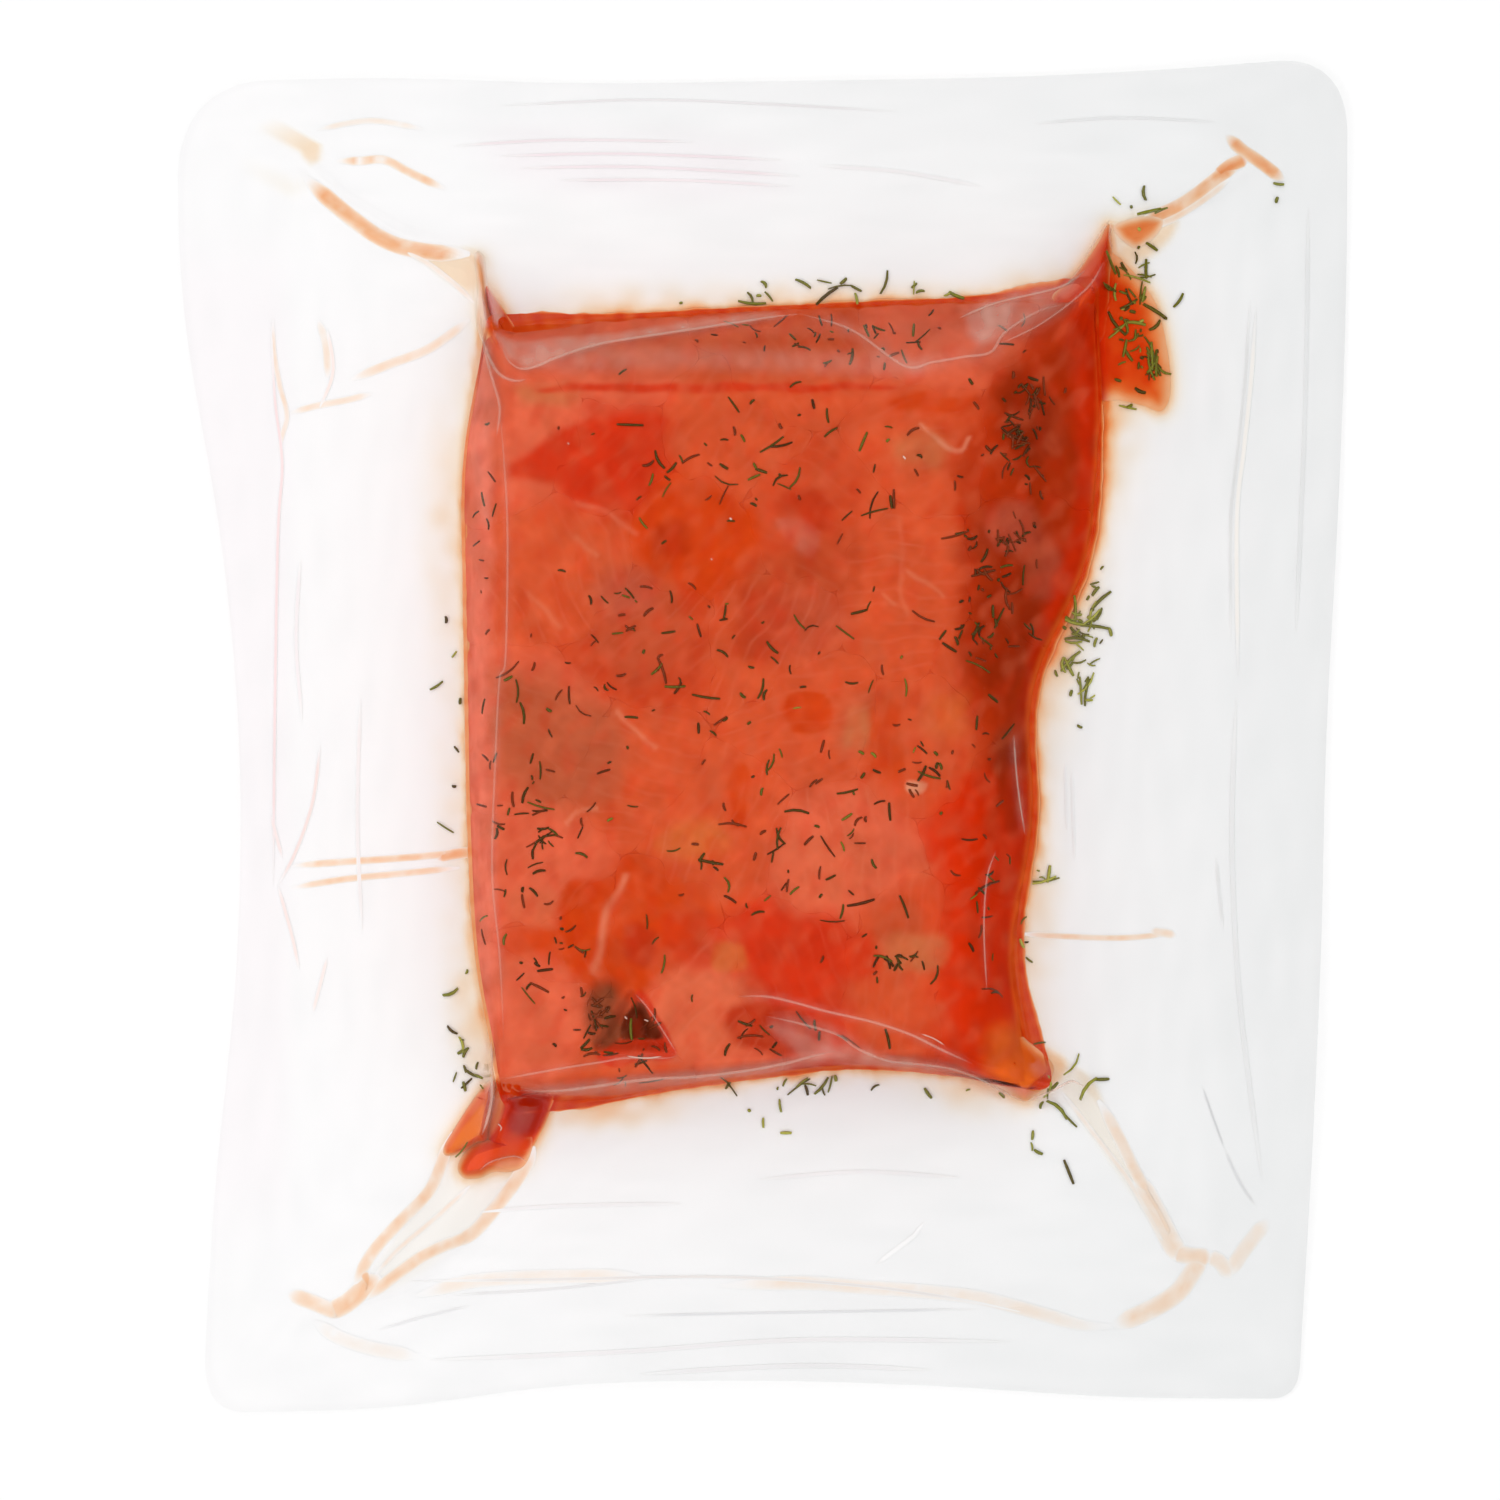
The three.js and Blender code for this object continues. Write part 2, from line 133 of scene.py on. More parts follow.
class Outline:
    """A closed outline of four bowed sides, clockwise from the top-left corner.

    A point of side k is its start, plus its share of the straight way to the next corner, plus an
    inward bow that follows a smooth curve through five offsets. Corners are rounded by taking the
    mean of a short stretch of the outline."""

    def __init__(self, corners, offsets, rounding):
        self.start = np.array(corners, float)
        way = np.roll(self.start, -1, axis=0) - self.start
        self.length = np.hypot(way[:, 0], way[:, 1])
        self.along = way / self.length[:, None]
        self.inward = np.stack([self.along[:, 1], -self.along[:, 0]], axis=1)
        self.offsets = [[0.0, *row, 0.0] for row in offsets]
        self.rounding = np.array(rounding)

    def sharp(self, s):
        """The outline with its corners not yet rounded, at turns s from 0 to 4."""
        turn = np.mod(s, 4.0)
        side = np.minimum(turn.astype(int), 3)
        share = turn - side
        bow = np.zeros_like(share)
        for k in range(4):
            bow = np.where(side == k, smooth_through(self.offsets[k], share), bow)
        straight = self.start[side] + self.along[side] * (self.length[side] * share)[..., None]
        return straight + self.inward[side] * bow[..., None]

    def at(self, s):
        """The rounded outline: the mean of places to both sides, spread over the corner's reach."""
        side = np.mod(np.floor(s).astype(int), 4)
        reach = lerp(self.rounding[side], self.rounding[(side + 1) % 4], s - np.floor(s))
        steps = range(-CORNER_STEPS, CORNER_STEPS + 1)
        return sum(self.sharp(s + reach * i / CORNER_STEPS) for i in steps) / len(steps)

    def inside_by(self, k, x, y):
        """How far inside side k a point lies, square to the side and corrected for its bow."""
        dx, dy = x - self.start[k, 0], y - self.start[k, 1]
        t = (dx * self.along[k, 0] + dy * self.along[k, 1]) / self.length[k]
        square = dx * self.inward[k, 0] + dy * self.inward[k, 1]
        return square - smooth_through(self.offsets[k], t)


FILM_EDGE = Outline(
    [(-97.2, 108.3), (97.7, 112.9), (89.5, -110.6), (-92.8, -112.9)],
    [(-0.3, 1.4, 1.8, 2.1, 1.6), (-1.2, -1.2, -0.6, -1.0, -0.7),
     (0.7, 2.9, 4.2, 3.8, 0.4), (2.6, 7.0, 8.2, 5.6, 0.0)],
    [0.07, 0.055, 0.022, 0.035])
POCKET = Outline(
    [(-78.5, 97.4), (83.5, 95.8), (75.7, -92.6), (-76.8, -96.3)],
    [(-1.5, -2.0, -1.0, -1.5, -1.0), (1.0, 1.4, 1.0, 1.4, 1.5),
     (0.5, 1.0, 1.5, 2.5, 3.0), (-2.0, -2.0, -1.0, -2.0, -1.0)],
    [0.03, 0.03, 0.03, 0.03])
BLOCK_FOOT = Outline(
    [(-46.8, 67.4), (57.0, 73.0), (45.2, -58.9), (-44.0, -59.6)],
    [(-0.8, -1.2, -1.2, -1.0, -0.5), (-2.0, -1.6, 5.2, 3.3, 4.7),
     (2.4, 3.5, 2.2, 0.3, -1.5), (-3.2, -3.9, -3.9, -3.8, -3.5)],
    [0.03, 0.03, 0.03, 0.03])
BLOCK_TOP = Outline(
    [(-40.9, 57.6), (33.5, 57.2), (31.8, -51.8), (-43.3, -56.4)],
    [(0.4, 0.8, 0.6, 0.2, 0.0), (-1.0, -1.5, 0.5, 0.5, 0.5),
     (0.0, 0.5, 0.5, 0.0, 0.0), (-0.5, -1.0, -1.0, -1.0, -0.5)],
    [0.09, 0.09, 0.08, 0.07])

EARS = list(EAR_CRESTS.values())


def crest_at_reach(ear, reach):
    """The place of an ear's crest on the ring that lies "reach" of the way from foot to pocket."""
    stations = [station for station in ear if station[4] is not None]
    places = np.array([station[4] for station in stations])
    return np.array([np.interp(reach, places, [station[axis] for station in stations])
                     for axis in (0, 1)])


def skirt_at(s, reach):
    """A ring of the skirt: a blend of foot and pocket edge, pulled onto each ear's crest near it."""
    points = lerp(BLOCK_FOOT.at(s), POCKET.at(s), reach)
    for k, ear in enumerate(EARS):
        away = np.abs(np.mod(s - k + 6.0, 4.0) - 2.0)
        pull = np.exp(-((away / EAR_PULL_SPREAD) ** 2))
        k_turn = np.array([float(k)])
        corner = lerp(BLOCK_FOOT.at(k_turn), POCKET.at(k_turn), reach)[0]
        points = points + pull[:, None] * (crest_at_reach(ear, reach) - corner)
    return points


CLOSE_REACH = 0.1


def skirt_at_each(s, reach):
    """Points of the skirt at a reach of their own for each turn, by blending two close rings."""
    nearer, farther = skirt_at(s, 0.0), skirt_at(s, CLOSE_REACH)
    return lerp(nearer, farther, (reach / CLOSE_REACH)[:, None])


# ------------------------------------------------------------------ relief of the drawn-down film

def nearest_on(line, x, y):
    """Distance to a line of points, and how far along the line (in segments) the nearest place is."""
    best = np.full(np.shape(x), np.inf)
    place = np.zeros(np.shape(x))
    for i, ((ax, ay), (bx, by)) in enumerate(zip(line[:-1], line[1:])):
        span = max((bx - ax) ** 2 + (by - ay) ** 2, 1e-9)
        along = np.clip(((x - ax) * (bx - ax) + (y - ay) * (by - ay)) / span, 0.0, 1.0)
        distance = np.hypot(x - lerp(ax, bx, along), y - lerp(ay, by, along))
        nearer = distance < best
        best = np.where(nearer, distance, best)
        place = np.where(nearer, i + along, place)
    return best, place


def ridge(distance, half):
    """A round-topped ridge: the squared cosine of the distance, 0 beyond half its width."""
    return np.cos((np.pi / 2) * np.minimum(1.0, distance / half)) ** 2


def climb(x, y):
    """0 outside the block's foot and 1 on its top, by a soft minimum over the four sides."""
    total = 0.0
    for k in range(4):
        from_foot = BLOCK_FOOT.inside_by(k, x, y)
        from_top = BLOCK_TOP.inside_by(k, x, y)
        share = from_foot / np.maximum(from_foot - from_top, 1.0)
        total = total + np.exp(-np.minimum(share, 4.0) / CORNER_BLEND)
    return -CORNER_BLEND * np.log(total)


def block_height(x, y):
    """One minus a power of the way left to the top, times the block's height with its slow waves."""
    raw = climb(x, y)
    share = np.clip((raw + np.hypot(raw, FOOT_FILLET)) / 2, 0.0, 1.0)
    full = 1.0 - (1.0 - share) ** SHOULDER_POWER
    swell = sum(part * np.sin(2 * np.pi * (x / across + y / along) + start)
                for across, along, start, part in BULGE_WAVES)
    return full * (BLOCK_HEIGHT + BULGE * (swell * share - 1.0))


def raise_ears(x, y, below):
    """The highest of the surface below and the round ridges along the crests of the ears."""
    height = below
    for ear in EARS:
        distance, place = nearest_on([station[:2] for station in ear], x, y)
        i = np.minimum(place.astype(int), len(ear) - 2)
        tops = np.array([station[2] for station in ear])
        halves = np.array([station[3] for station in ear])
        top = lerp(tops[i], tops[i + 1], smoothstep(place - i))
        half = lerp(halves[i], halves[i + 1], place - i)
        height = np.maximum(height, below + np.maximum(0.0, top - below) * ridge(distance, half))
    return height


def crease_height(x, y):
    """The highest of the round ridges along CREASES, each fading out towards both ends."""
    height = np.zeros(np.shape(x))
    for top, half, line in CREASES:
        distance, place = nearest_on(line, x, y)
        way = place / (len(line) - 1)
        fade = smoothstep(way / CREASE_FADE) * smoothstep((1.0 - way) / CREASE_FADE)
        height = np.maximum(height, top * fade * ridge(distance, half))
    return height


def inside_area(corners, x, y):
    """Distance inside a closed area: that to its nearest border, negative outside (even-odd)."""
    ring = [*corners, corners[0]]
    distance, _ = nearest_on(ring, x, y)
    inside = np.zeros(np.shape(x), bool)
    for (ax, ay), (bx, by) in zip(ring[:-1], ring[1:]):
        rise = by - ay if abs(by - ay) > 1e-9 else 1e-9
        inside ^= ((ay > y) != (by > y)) & (x < ax + (y - ay) * (bx - ax) / rise)
    return np.where(inside, distance, -distance)


def hollow_depth(x, y):
    """The deeper of two hollows: the air pit, an S-shaped step down inside its border, and the
    valley, a bell curve longer than it is wide."""
    pit = AIR_PIT_DEPTH * smoothstep(inside_area(AIR_PIT, x, y) / AIR_PIT_WALL + 0.5)
    away = ((x - VALLEY_AT[0]) / VALLEY_HALF[0]) ** 2 + ((y - VALLEY_AT[1]) / VALLEY_HALF[1]) ** 2
    return np.maximum(pit, VALLEY_DEPTH * np.exp(-away))


def film_height(x, y):
    """Height of the top film over the table, inside the pocket."""
    block = block_height(x, y)
    share = np.clip(block / BLOCK_HEIGHT, 0.0, 1.0)
    shaped = block + (crease_height(x, y) - hollow_depth(x, y)) * share
    return SKIRT_THICKNESS + raise_ears(x, y, shaped)


SLOW_WRINKLE, SHARP_WRINKLE = 0.035, 0.05
FISH_UNDER_FILM = 0.45


def crinkle(x, y):
    """Fine wrinkles of the film: a few hundredths of a millimetre, with some sharper creases."""
    sharp = 1.0 - np.abs(wobble(x + 2.0 * wobble(x, y, 20.0, 72), y, 16.0, 71))
    return SLOW_WRINKLE * wobble(x, y, 9.0, 70) + SHARP_WRINKLE * np.clip(sharp, 0.0, 1.0) ** 6


def flesh_height(x, y):
    """Top of the fish: the film's form without its folds, a little under it, and the lowest of
    five close places, so that it stays under the film on the steep sides too."""
    step = 0.45
    places = [(0, 0), (step, 0), (-step, 0), (0, step), (0, -step)]
    lowest = np.min([raise_ears(x + dx, y + dy, block_height(x + dx, y + dy))
                     for dx, dy in places], axis=0)
    share = np.clip(lowest / BLOCK_HEIGHT, 0.0, 1.0)
    return lowest - hollow_depth(x, y) * share + SKIRT_THICKNESS - FISH_UNDER_FILM


def height_at(height, place):
    """A height, given as a function of arrays, at a single place."""
    return height(np.array([place[0]]), np.array([place[1]]))[0]


def band_lift(s, outward):
    """How far the welded band curls up: half its lift plus two sine waves round the pack, times an
    S-shaped rise from the pocket's edge to the film's edge."""
    wave = 0.5 + sum(part * np.sin((np.pi / 2) * count * s + start)
                     for count, start, part in BAND_WAVES)
    return BAND_LIFT * wave * smoothstep(outward)


# ------------------------------------------------------------------ uneven forms and soft painting

NOISE_WAVES, SHORTEST_WAVE, NOISE_SUM = 10, 0.35, 4.5


def wobble(x, y, size, seed):
    """Smooth noise of about -1 to 1: a sum of plane sine waves in random directions, with lengths
    from "size" down to a third of it."""
    draw = np.random.default_rng(seed)
    total = np.zeros(np.shape(x))
    for _ in range(NOISE_WAVES):
        heading, start = draw.uniform(0, 2 * np.pi, 2)
        length = size * draw.uniform(SHORTEST_WAVE, 1.0)
        total += np.sin(2 * np.pi * (x * np.cos(heading) + y * np.sin(heading)) / length + start)
    return total / NOISE_SUM


def rounded(points, closed=False, steps=6):
    """A Catmull-Rom line through the given points."""
    points = [*points[-2:], *points, *points[:2]] if closed else points
    count = (len(points) - 1) * steps + 1
    line = smooth_through(points, np.linspace(0, 1, count))
    if closed:
        line = line[2 * steps:-2 * steps + steps]
        line = line[:(len(points) - 4) * steps]
    return [tuple(point) for point in line]


def near_only(x, y, points, reach, strength):
    """0 everywhere, and the given strength in the box round the points, widened by "reach"."""
    low, high = np.min(points, axis=0) - reach, np.max(points, axis=0) + reach
    near = (x > low[0]) & (x < high[0]) & (y > low[1]) & (y < high[1])
    result = np.zeros(np.shape(x))
    result[near] = strength(x[near], y[near])
    return result


def stroke(x, y, points, half, fade=0.0):
    """Strength of a soft line: a bell curve of the distance, fading out towards both ends."""
    line = rounded(points, steps=4)

    def strength(x, y):
        """The soft line's strength near it."""
        distance, place = nearest_on(line, x, y)
        way = place / (len(line) - 1)
        ends = 1.0
        if fade > 0:
            ends = smoothstep(way / fade) * smoothstep((1 - way) / fade)
        return np.exp(-((distance / half) ** 2)) * ends

    return near_only(x, y, line, 3.0 * half, strength)


def blot(x, y, points, soft):
    """Strength of a soft-edged area: 0 outside, 1 inside, rising over "soft" millimetres."""
    line = rounded(points, closed=True, steps=4)
    return near_only(x, y, line, soft,
                     lambda x, y: smoothstep(inside_area(line, x, y) / soft + 0.5))


def shade(red, green, blue):
    """A colour as seen, 0 to 255 in each channel, as linear light."""
    seen = np.array([red, green, blue]) / 255.0
    return np.where(seen <= 0.04045, seen / 12.92, ((seen + 0.055) / 1.055) ** 2.4)


# ------------------------------------------------------------------ meshes from arrays

def film_centre():
    """The middle of the film's outline, which the part has at its origin."""
    turns = 4.0 * np.arange(1440) / 1440
    edge = FILM_EDGE.at(turns)
    return (edge.min(axis=0) + edge.max(axis=0)) / 2


def uneven_turns(count, crowds):
    """Turns from 0 to 4 that stand closer together round some places: the density is 1 plus a bell
    curve at each of "crowds" (place, strength, width), and the turns share it out evenly."""
    fine = np.linspace(0.0, 4.0, 4001)
    density = np.ones_like(fine)
    for place, strength, width in crowds:
        away = np.abs(np.mod(fine - place + 2.0, 4.0) - 2.0)
        density = density + strength * np.exp(-((away / width) ** 2))
    total = np.concatenate([[0.0], np.cumsum((density[1:] + density[:-1]) / 2)])
    return np.interp(np.arange(count) / count * total[-1], total, fine)


CORNER_CROWDS = [(k, 1.6, 0.2) for k in range(4)]
CREASE_CROWDS = [(3.335, 2.4, 0.07), (1.75, 2.0, 0.09)]
CENTRE = film_centre()


def on_table(points):
    """Plan places and heights in millimetres as metres in the part's frame."""
    return (np.asarray(points, float) - [CENTRE[0], CENTRE[1], 0.0]) * METRES


def ring_faces(rings, around, first_vertex=0, closed=False):
    """Triangles between rings of "around" points, numbered ring after ring."""
    ring = np.arange(rings if closed else rings - 1)[:, None]
    i = np.arange(around)[None, :]
    here = first_vertex + ring * around + i
    here_next = first_vertex + ring * around + (i + 1) % around
    there = first_vertex + ((ring + 1) % rings) * around + i
    there_next = first_vertex + ((ring + 1) % rings) * around + (i + 1) % around
    lower = np.stack([here, here_next, there], axis=-1).reshape(-1, 3)
    upper = np.stack([here_next, there_next, there], axis=-1).reshape(-1, 3)
    return np.concatenate([lower, upper])


def fan_faces(pole, start, around, flip):
    """Triangles from a pole to the ring of points that begins at "start"."""
    i = np.arange(around)
    faces = np.stack([np.full(around, pole), start + (i + 1) % around, start + i], axis=-1)
    return faces[:, ::-1] if flip else faces


def capped_faces(rings, around):
    """Triangles of a closed body whose points are a pole, ring after ring, and a second pole."""
    last = 1 + (rings - 1) * around
    return np.concatenate([fan_faces(0, 1, around, False), ring_faces(rings, around, 1),
                           fan_faces(last + around, last, around, True)])


def capped_points(first_pole, rings, second_pole):
    """The points that capped_faces expects: a pole, ring after ring, and a second pole."""
    return np.concatenate([[first_pole], rings.reshape(-1, 3), [second_pole]])


def raised(plan, height):
    """Points with the given plan places and heights."""
    return np.concatenate([plan, height[..., None]], axis=-1)


def new_piece(name, points, faces, material, values=None, colours=None, grain=None,
              smooth=True):
    """A mesh object at the origin, riding on the pack, with point attributes. A thin body has flat
    faces, because smooth ones would shade its rim as if it stood upright."""
    mesh = bpy.data.meshes.new(name)
    points = on_table(points)
    mesh.vertices.add(len(points))
    mesh.vertices.foreach_set("co", points.astype(np.float32).ravel())
    mesh.loops.add(faces.size)
    mesh.loops.foreach_set("vertex_index", faces.astype(np.int32).ravel())
    mesh.polygons.add(len(faces))
    mesh.polygons.foreach_set("loop_start", np.arange(0, faces.size, 3, dtype=np.int32))
    mesh.update(calc_edges=True)
    mesh.validate()
    mesh.polygons.foreach_set("use_smooth", np.full(len(mesh.polygons), smooth))
    for key, value in (values or {}).items():
        mesh.attributes.new(key, "FLOAT", "POINT").data.foreach_set(
            "value", np.asarray(value, np.float32).ravel())
    for key, value in (colours or {}).items():
        rgba = np.concatenate([value, np.ones((len(value), 1))], axis=1)
        mesh.attributes.new(key, "FLOAT_COLOR", "POINT").data.foreach_set(
            "color", rgba.astype(np.float32).ravel())
    if grain is not None:
        corner_vertex = np.zeros(len(mesh.loops), np.int32)
        mesh.loops.foreach_get("vertex_index", corner_vertex)
        mesh.uv_layers.new(name="grain").data.foreach_set(
            "uv", grain[corner_vertex].astype(np.float32).ravel())
    mesh.materials.append(material)
    piece = bpy.data.objects.new(name, mesh)
    bpy.context.scene.collection.objects.link(piece)
    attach(piece, "root")
    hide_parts(PACK)
    return piece


# ------------------------------------------------------------------ nodes and materials

def node(tree, kind, inputs=None, **settings):
    """A shader node with its settings, and each named input set to a value or linked to a socket."""
    made = tree.nodes.new(kind)
    for key, value in settings.items():
        setattr(made, key, value)
    for key, value in (inputs or {}).items():
        if isinstance(value, bpy.types.NodeSocket):
            tree.links.new(value, made.inputs[key])
        else:
            made.inputs[key].default_value = value
    return made


def maths(tree, operation, a, b=0.0, c=0.0):
    """The result of a Math node."""
    return node(tree, "ShaderNodeMath", {0: a, 1: b, 2: c}, operation=operation).outputs[0]


def blend_colours(tree, factor, a, b, how="MIX"):
    """The result of a colour Mix node, whose colours are values or sockets."""
    made = node(tree, "ShaderNodeMix", {"Factor": factor}, data_type="RGBA", blend_type=how)
    for socket, value in ((made.inputs[6], a), (made.inputs[7], b)):
        if isinstance(value, bpy.types.NodeSocket):
            tree.links.new(value, socket)
        else:
            socket.default_value = (*value, 1.0)
    return made.outputs[2]


def attribute(tree, name, output="Fac"):
    """A point attribute of the piece, as a number or as a colour."""
    return node(tree, "ShaderNodeAttribute", attribute_name=name).outputs[output]


def cloud_group():
    """Node group: a cloudy mask from 0 to 1 whose patches are Size millimetres across, read from
    Object coordinates. Contrast above 1 sharpens it about its middle."""
    group = bpy.data.node_groups.new("soft_cloud", "ShaderNodeTree")
    for name, value in (("Size", 5.0), ("Contrast", 1.0), ("Detail", 3.0)):
        group.interface.new_socket(
            name=name, in_out="INPUT", socket_type="NodeSocketFloat").default_value = value
    group.interface.new_socket(name="Mask", in_out="OUTPUT", socket_type="NodeSocketFloat")
    given = node(group, "NodeGroupInput")
    place = node(group, "ShaderNodeTexCoord").outputs["Object"]
    scale = maths(group, "DIVIDE", 1.0 / METRES, given.outputs["Size"])
    noise = node(group, "ShaderNodeTexNoise",
                 {"Vector": place, "Scale": scale, "Detail": given.outputs["Detail"]})
    away = maths(group, "SUBTRACT", noise.outputs["Fac"], 0.5)
    spread = maths(group, "MULTIPLY_ADD", away, given.outputs["Contrast"], 0.5)
    clean = node(group, "ShaderNodeClamp", {"Value": spread}).outputs[0]
    result = node(group, "NodeGroupOutput")
    group.links.new(clean, result.inputs["Mask"])
    return group


CLOUD = cloud_group()


def cloud(tree, size, contrast=1.0, detail=3.0):
    """The mask of a "soft_cloud" group placed in a material."""
    made = node(tree, "ShaderNodeGroup", node_tree=CLOUD)
    made.inputs["Size"].default_value = size
    made.inputs["Contrast"].default_value = contrast
    made.inputs["Detail"].default_value = detail
    return made.outputs["Mask"]


def new_material(name):
    """An empty material, its node tree and its output node."""
    made = bpy.data.materials.new(name)
    made.use_nodes = True
    made.node_tree.nodes.clear()
    return made, made.node_tree, node(made.node_tree, "ShaderNodeOutputMaterial")


def finish_matt(tree, out, colour, roughness=0.5, gleam=0.0):
    """Ends a material in a surface without any mirror, because the film over it has the gloss."""
    surface = node(tree, "ShaderNodeBsdfPrincipled",
                   {"Base Color": colour, "Roughness": roughness, "Specular IOR Level": gleam})
    tree.links.new(surface.outputs[0], out.inputs["Surface"])


def salmon_material():
    """Wet salmon: the painted tone of the place, mottled, with thin pale fat lines that run along
    the piece's own grain and come and go."""
    made, tree, out = new_material("wet_salmon_flesh")
    tone = attribute(tree, "tone", "Color")
    dusky = blend_colours(tree, 1.0, tone, (0.90, 0.80, 0.74), "MULTIPLY")
    patches = cloud(tree, 3.6, 2.4, 2.0)
    mottled = blend_colours(tree, patches, tone, dusky)
    grain = node(tree, "ShaderNodeUVMap", uv_map="grain").outputs[0]
    lines = node(tree, "ShaderNodeTexWave",
                 {"Vector": grain, "Scale": 0.5, "Distortion": 9.0, "Detail": 2.0,
                  "Detail Scale": 0.5}, wave_profile="SIN").outputs["Fac"]
    thin = maths(tree, "POWER", lines, 10.0)
    here = maths(tree, "MULTIPLY", thin, patches)
    faint = maths(tree, "MULTIPLY", here, attribute(tree, "fatty"))
    striped = blend_colours(tree, faint, mottled, tuple(shade(232, 150, 116)))
    finish_matt(tree, out, striped)
    return made


def marinade_material(name, speckle):
    """Marinade in the painted colour "juice", which is that of its depth over what lies under it,
    mottled with the colour "speckle"."""
    made, tree, out = new_material(name)
    deep = attribute(tree, "juice", "Color")
    darker = blend_colours(tree, 1.0, deep, speckle, "MULTIPLY")
    colour = blend_colours(tree, cloud(tree, 3.0, 1.8, 1.0), deep, darker)
    finish_matt(tree, out, colour)
    return made


def film_material(name, gloss):
    """Clear film: see-through with the painted "tint", covered where "cover" is painted by the
    colour "stain" (milky folds with painted sheen and glints, and thin marinade), and mirror-like by
    Fresnel times "shine", the same from both of its sides."""
    made, tree, out = new_material(name)
    clear = node(tree, "ShaderNodeBsdfTransparent", {"Color": attribute(tree, "tint", "Color")})
    milky = node(tree, "ShaderNodeBsdfPrincipled",
                 {"Base Color": attribute(tree, "stain", "Color"), "Roughness": 0.5,
                  "Specular IOR Level": 0.0})
    inner = node(tree, "ShaderNodeMixShader",
                 {0: attribute(tree, "cover"), 1: clear.outputs[0], 2: milky.outputs[0]})
    mirror = node(tree, "ShaderNodeBsdfAnisotropic",
                  {"Color": (1.0, 1.0, 1.0, 1.0), "Roughness": gloss})
    backfacing = node(tree, "ShaderNodeNewGeometry").outputs["Backfacing"]
    bending = maths(tree, "MULTIPLY_ADD", backfacing, 1.0 / FILM_IOR - FILM_IOR, FILM_IOR)
    facing = node(tree, "ShaderNodeFresnel", {"IOR": bending})
    mirrored = maths(tree, "MULTIPLY", facing.outputs[0], attribute(tree, "shine"))
    outer = node(tree, "ShaderNodeMixShader",
                 {0: mirrored, 1: inner.outputs[0], 2: mirror.outputs[0]})
    tree.links.new(outer.outputs[0], out.inputs["Surface"])
    return made


def dill_material():
    """Chopped dill: olive to dark green by the fleck's own tint, a little mottled."""
    made, tree, out = new_material("chopped_dill")
    tint = attribute(tree, "tint")
    ramp = node(tree, "ShaderNodeValToRGB", {"Fac": tint})
    stops = [(0.0, shade(132, 54, 22)), (0.1, shade(78, 44, 14)), (0.4, shade(90, 72, 22)),
             (0.7, shade(130, 130, 40)), (1.0, shade(196, 194, 84))]
    while len(ramp.color_ramp.elements) < len(stops):
        ramp.color_ramp.elements.new(0.5)
    for element, (place, colour) in zip(ramp.color_ramp.elements, stops):
        element.position = place
        element.color = (*colour, 1.0)
    darker = blend_colours(tree, 1.0, ramp.outputs["Color"], (0.7, 0.74, 0.68), "MULTIPLY")
    leaf = blend_colours(tree, cloud(tree, 0.6, 1.6, 1.0), ramp.outputs["Color"], darker)
    finish_matt(tree, out, leaf, gleam=0.1)
    return made


FILM_IOR = 1.3
SALMON = salmon_material()
MARINADE = marinade_material("marinade", (0.95, 0.82, 0.72))
# the thin marinade material also colours the film's creases, with painted shade and highlights
THIN_MARINADE_AND_CREASE_SHADE = marinade_material("thin_marinade_and_crease_shade", (1.0, 0.99, 0.98))
FILM = film_material("clear_film", 0.06)
FOLD_FILM = film_material("folded_film", 0.15)
DILL = dill_material()


# ------------------------------------------------------------------ folds of the film

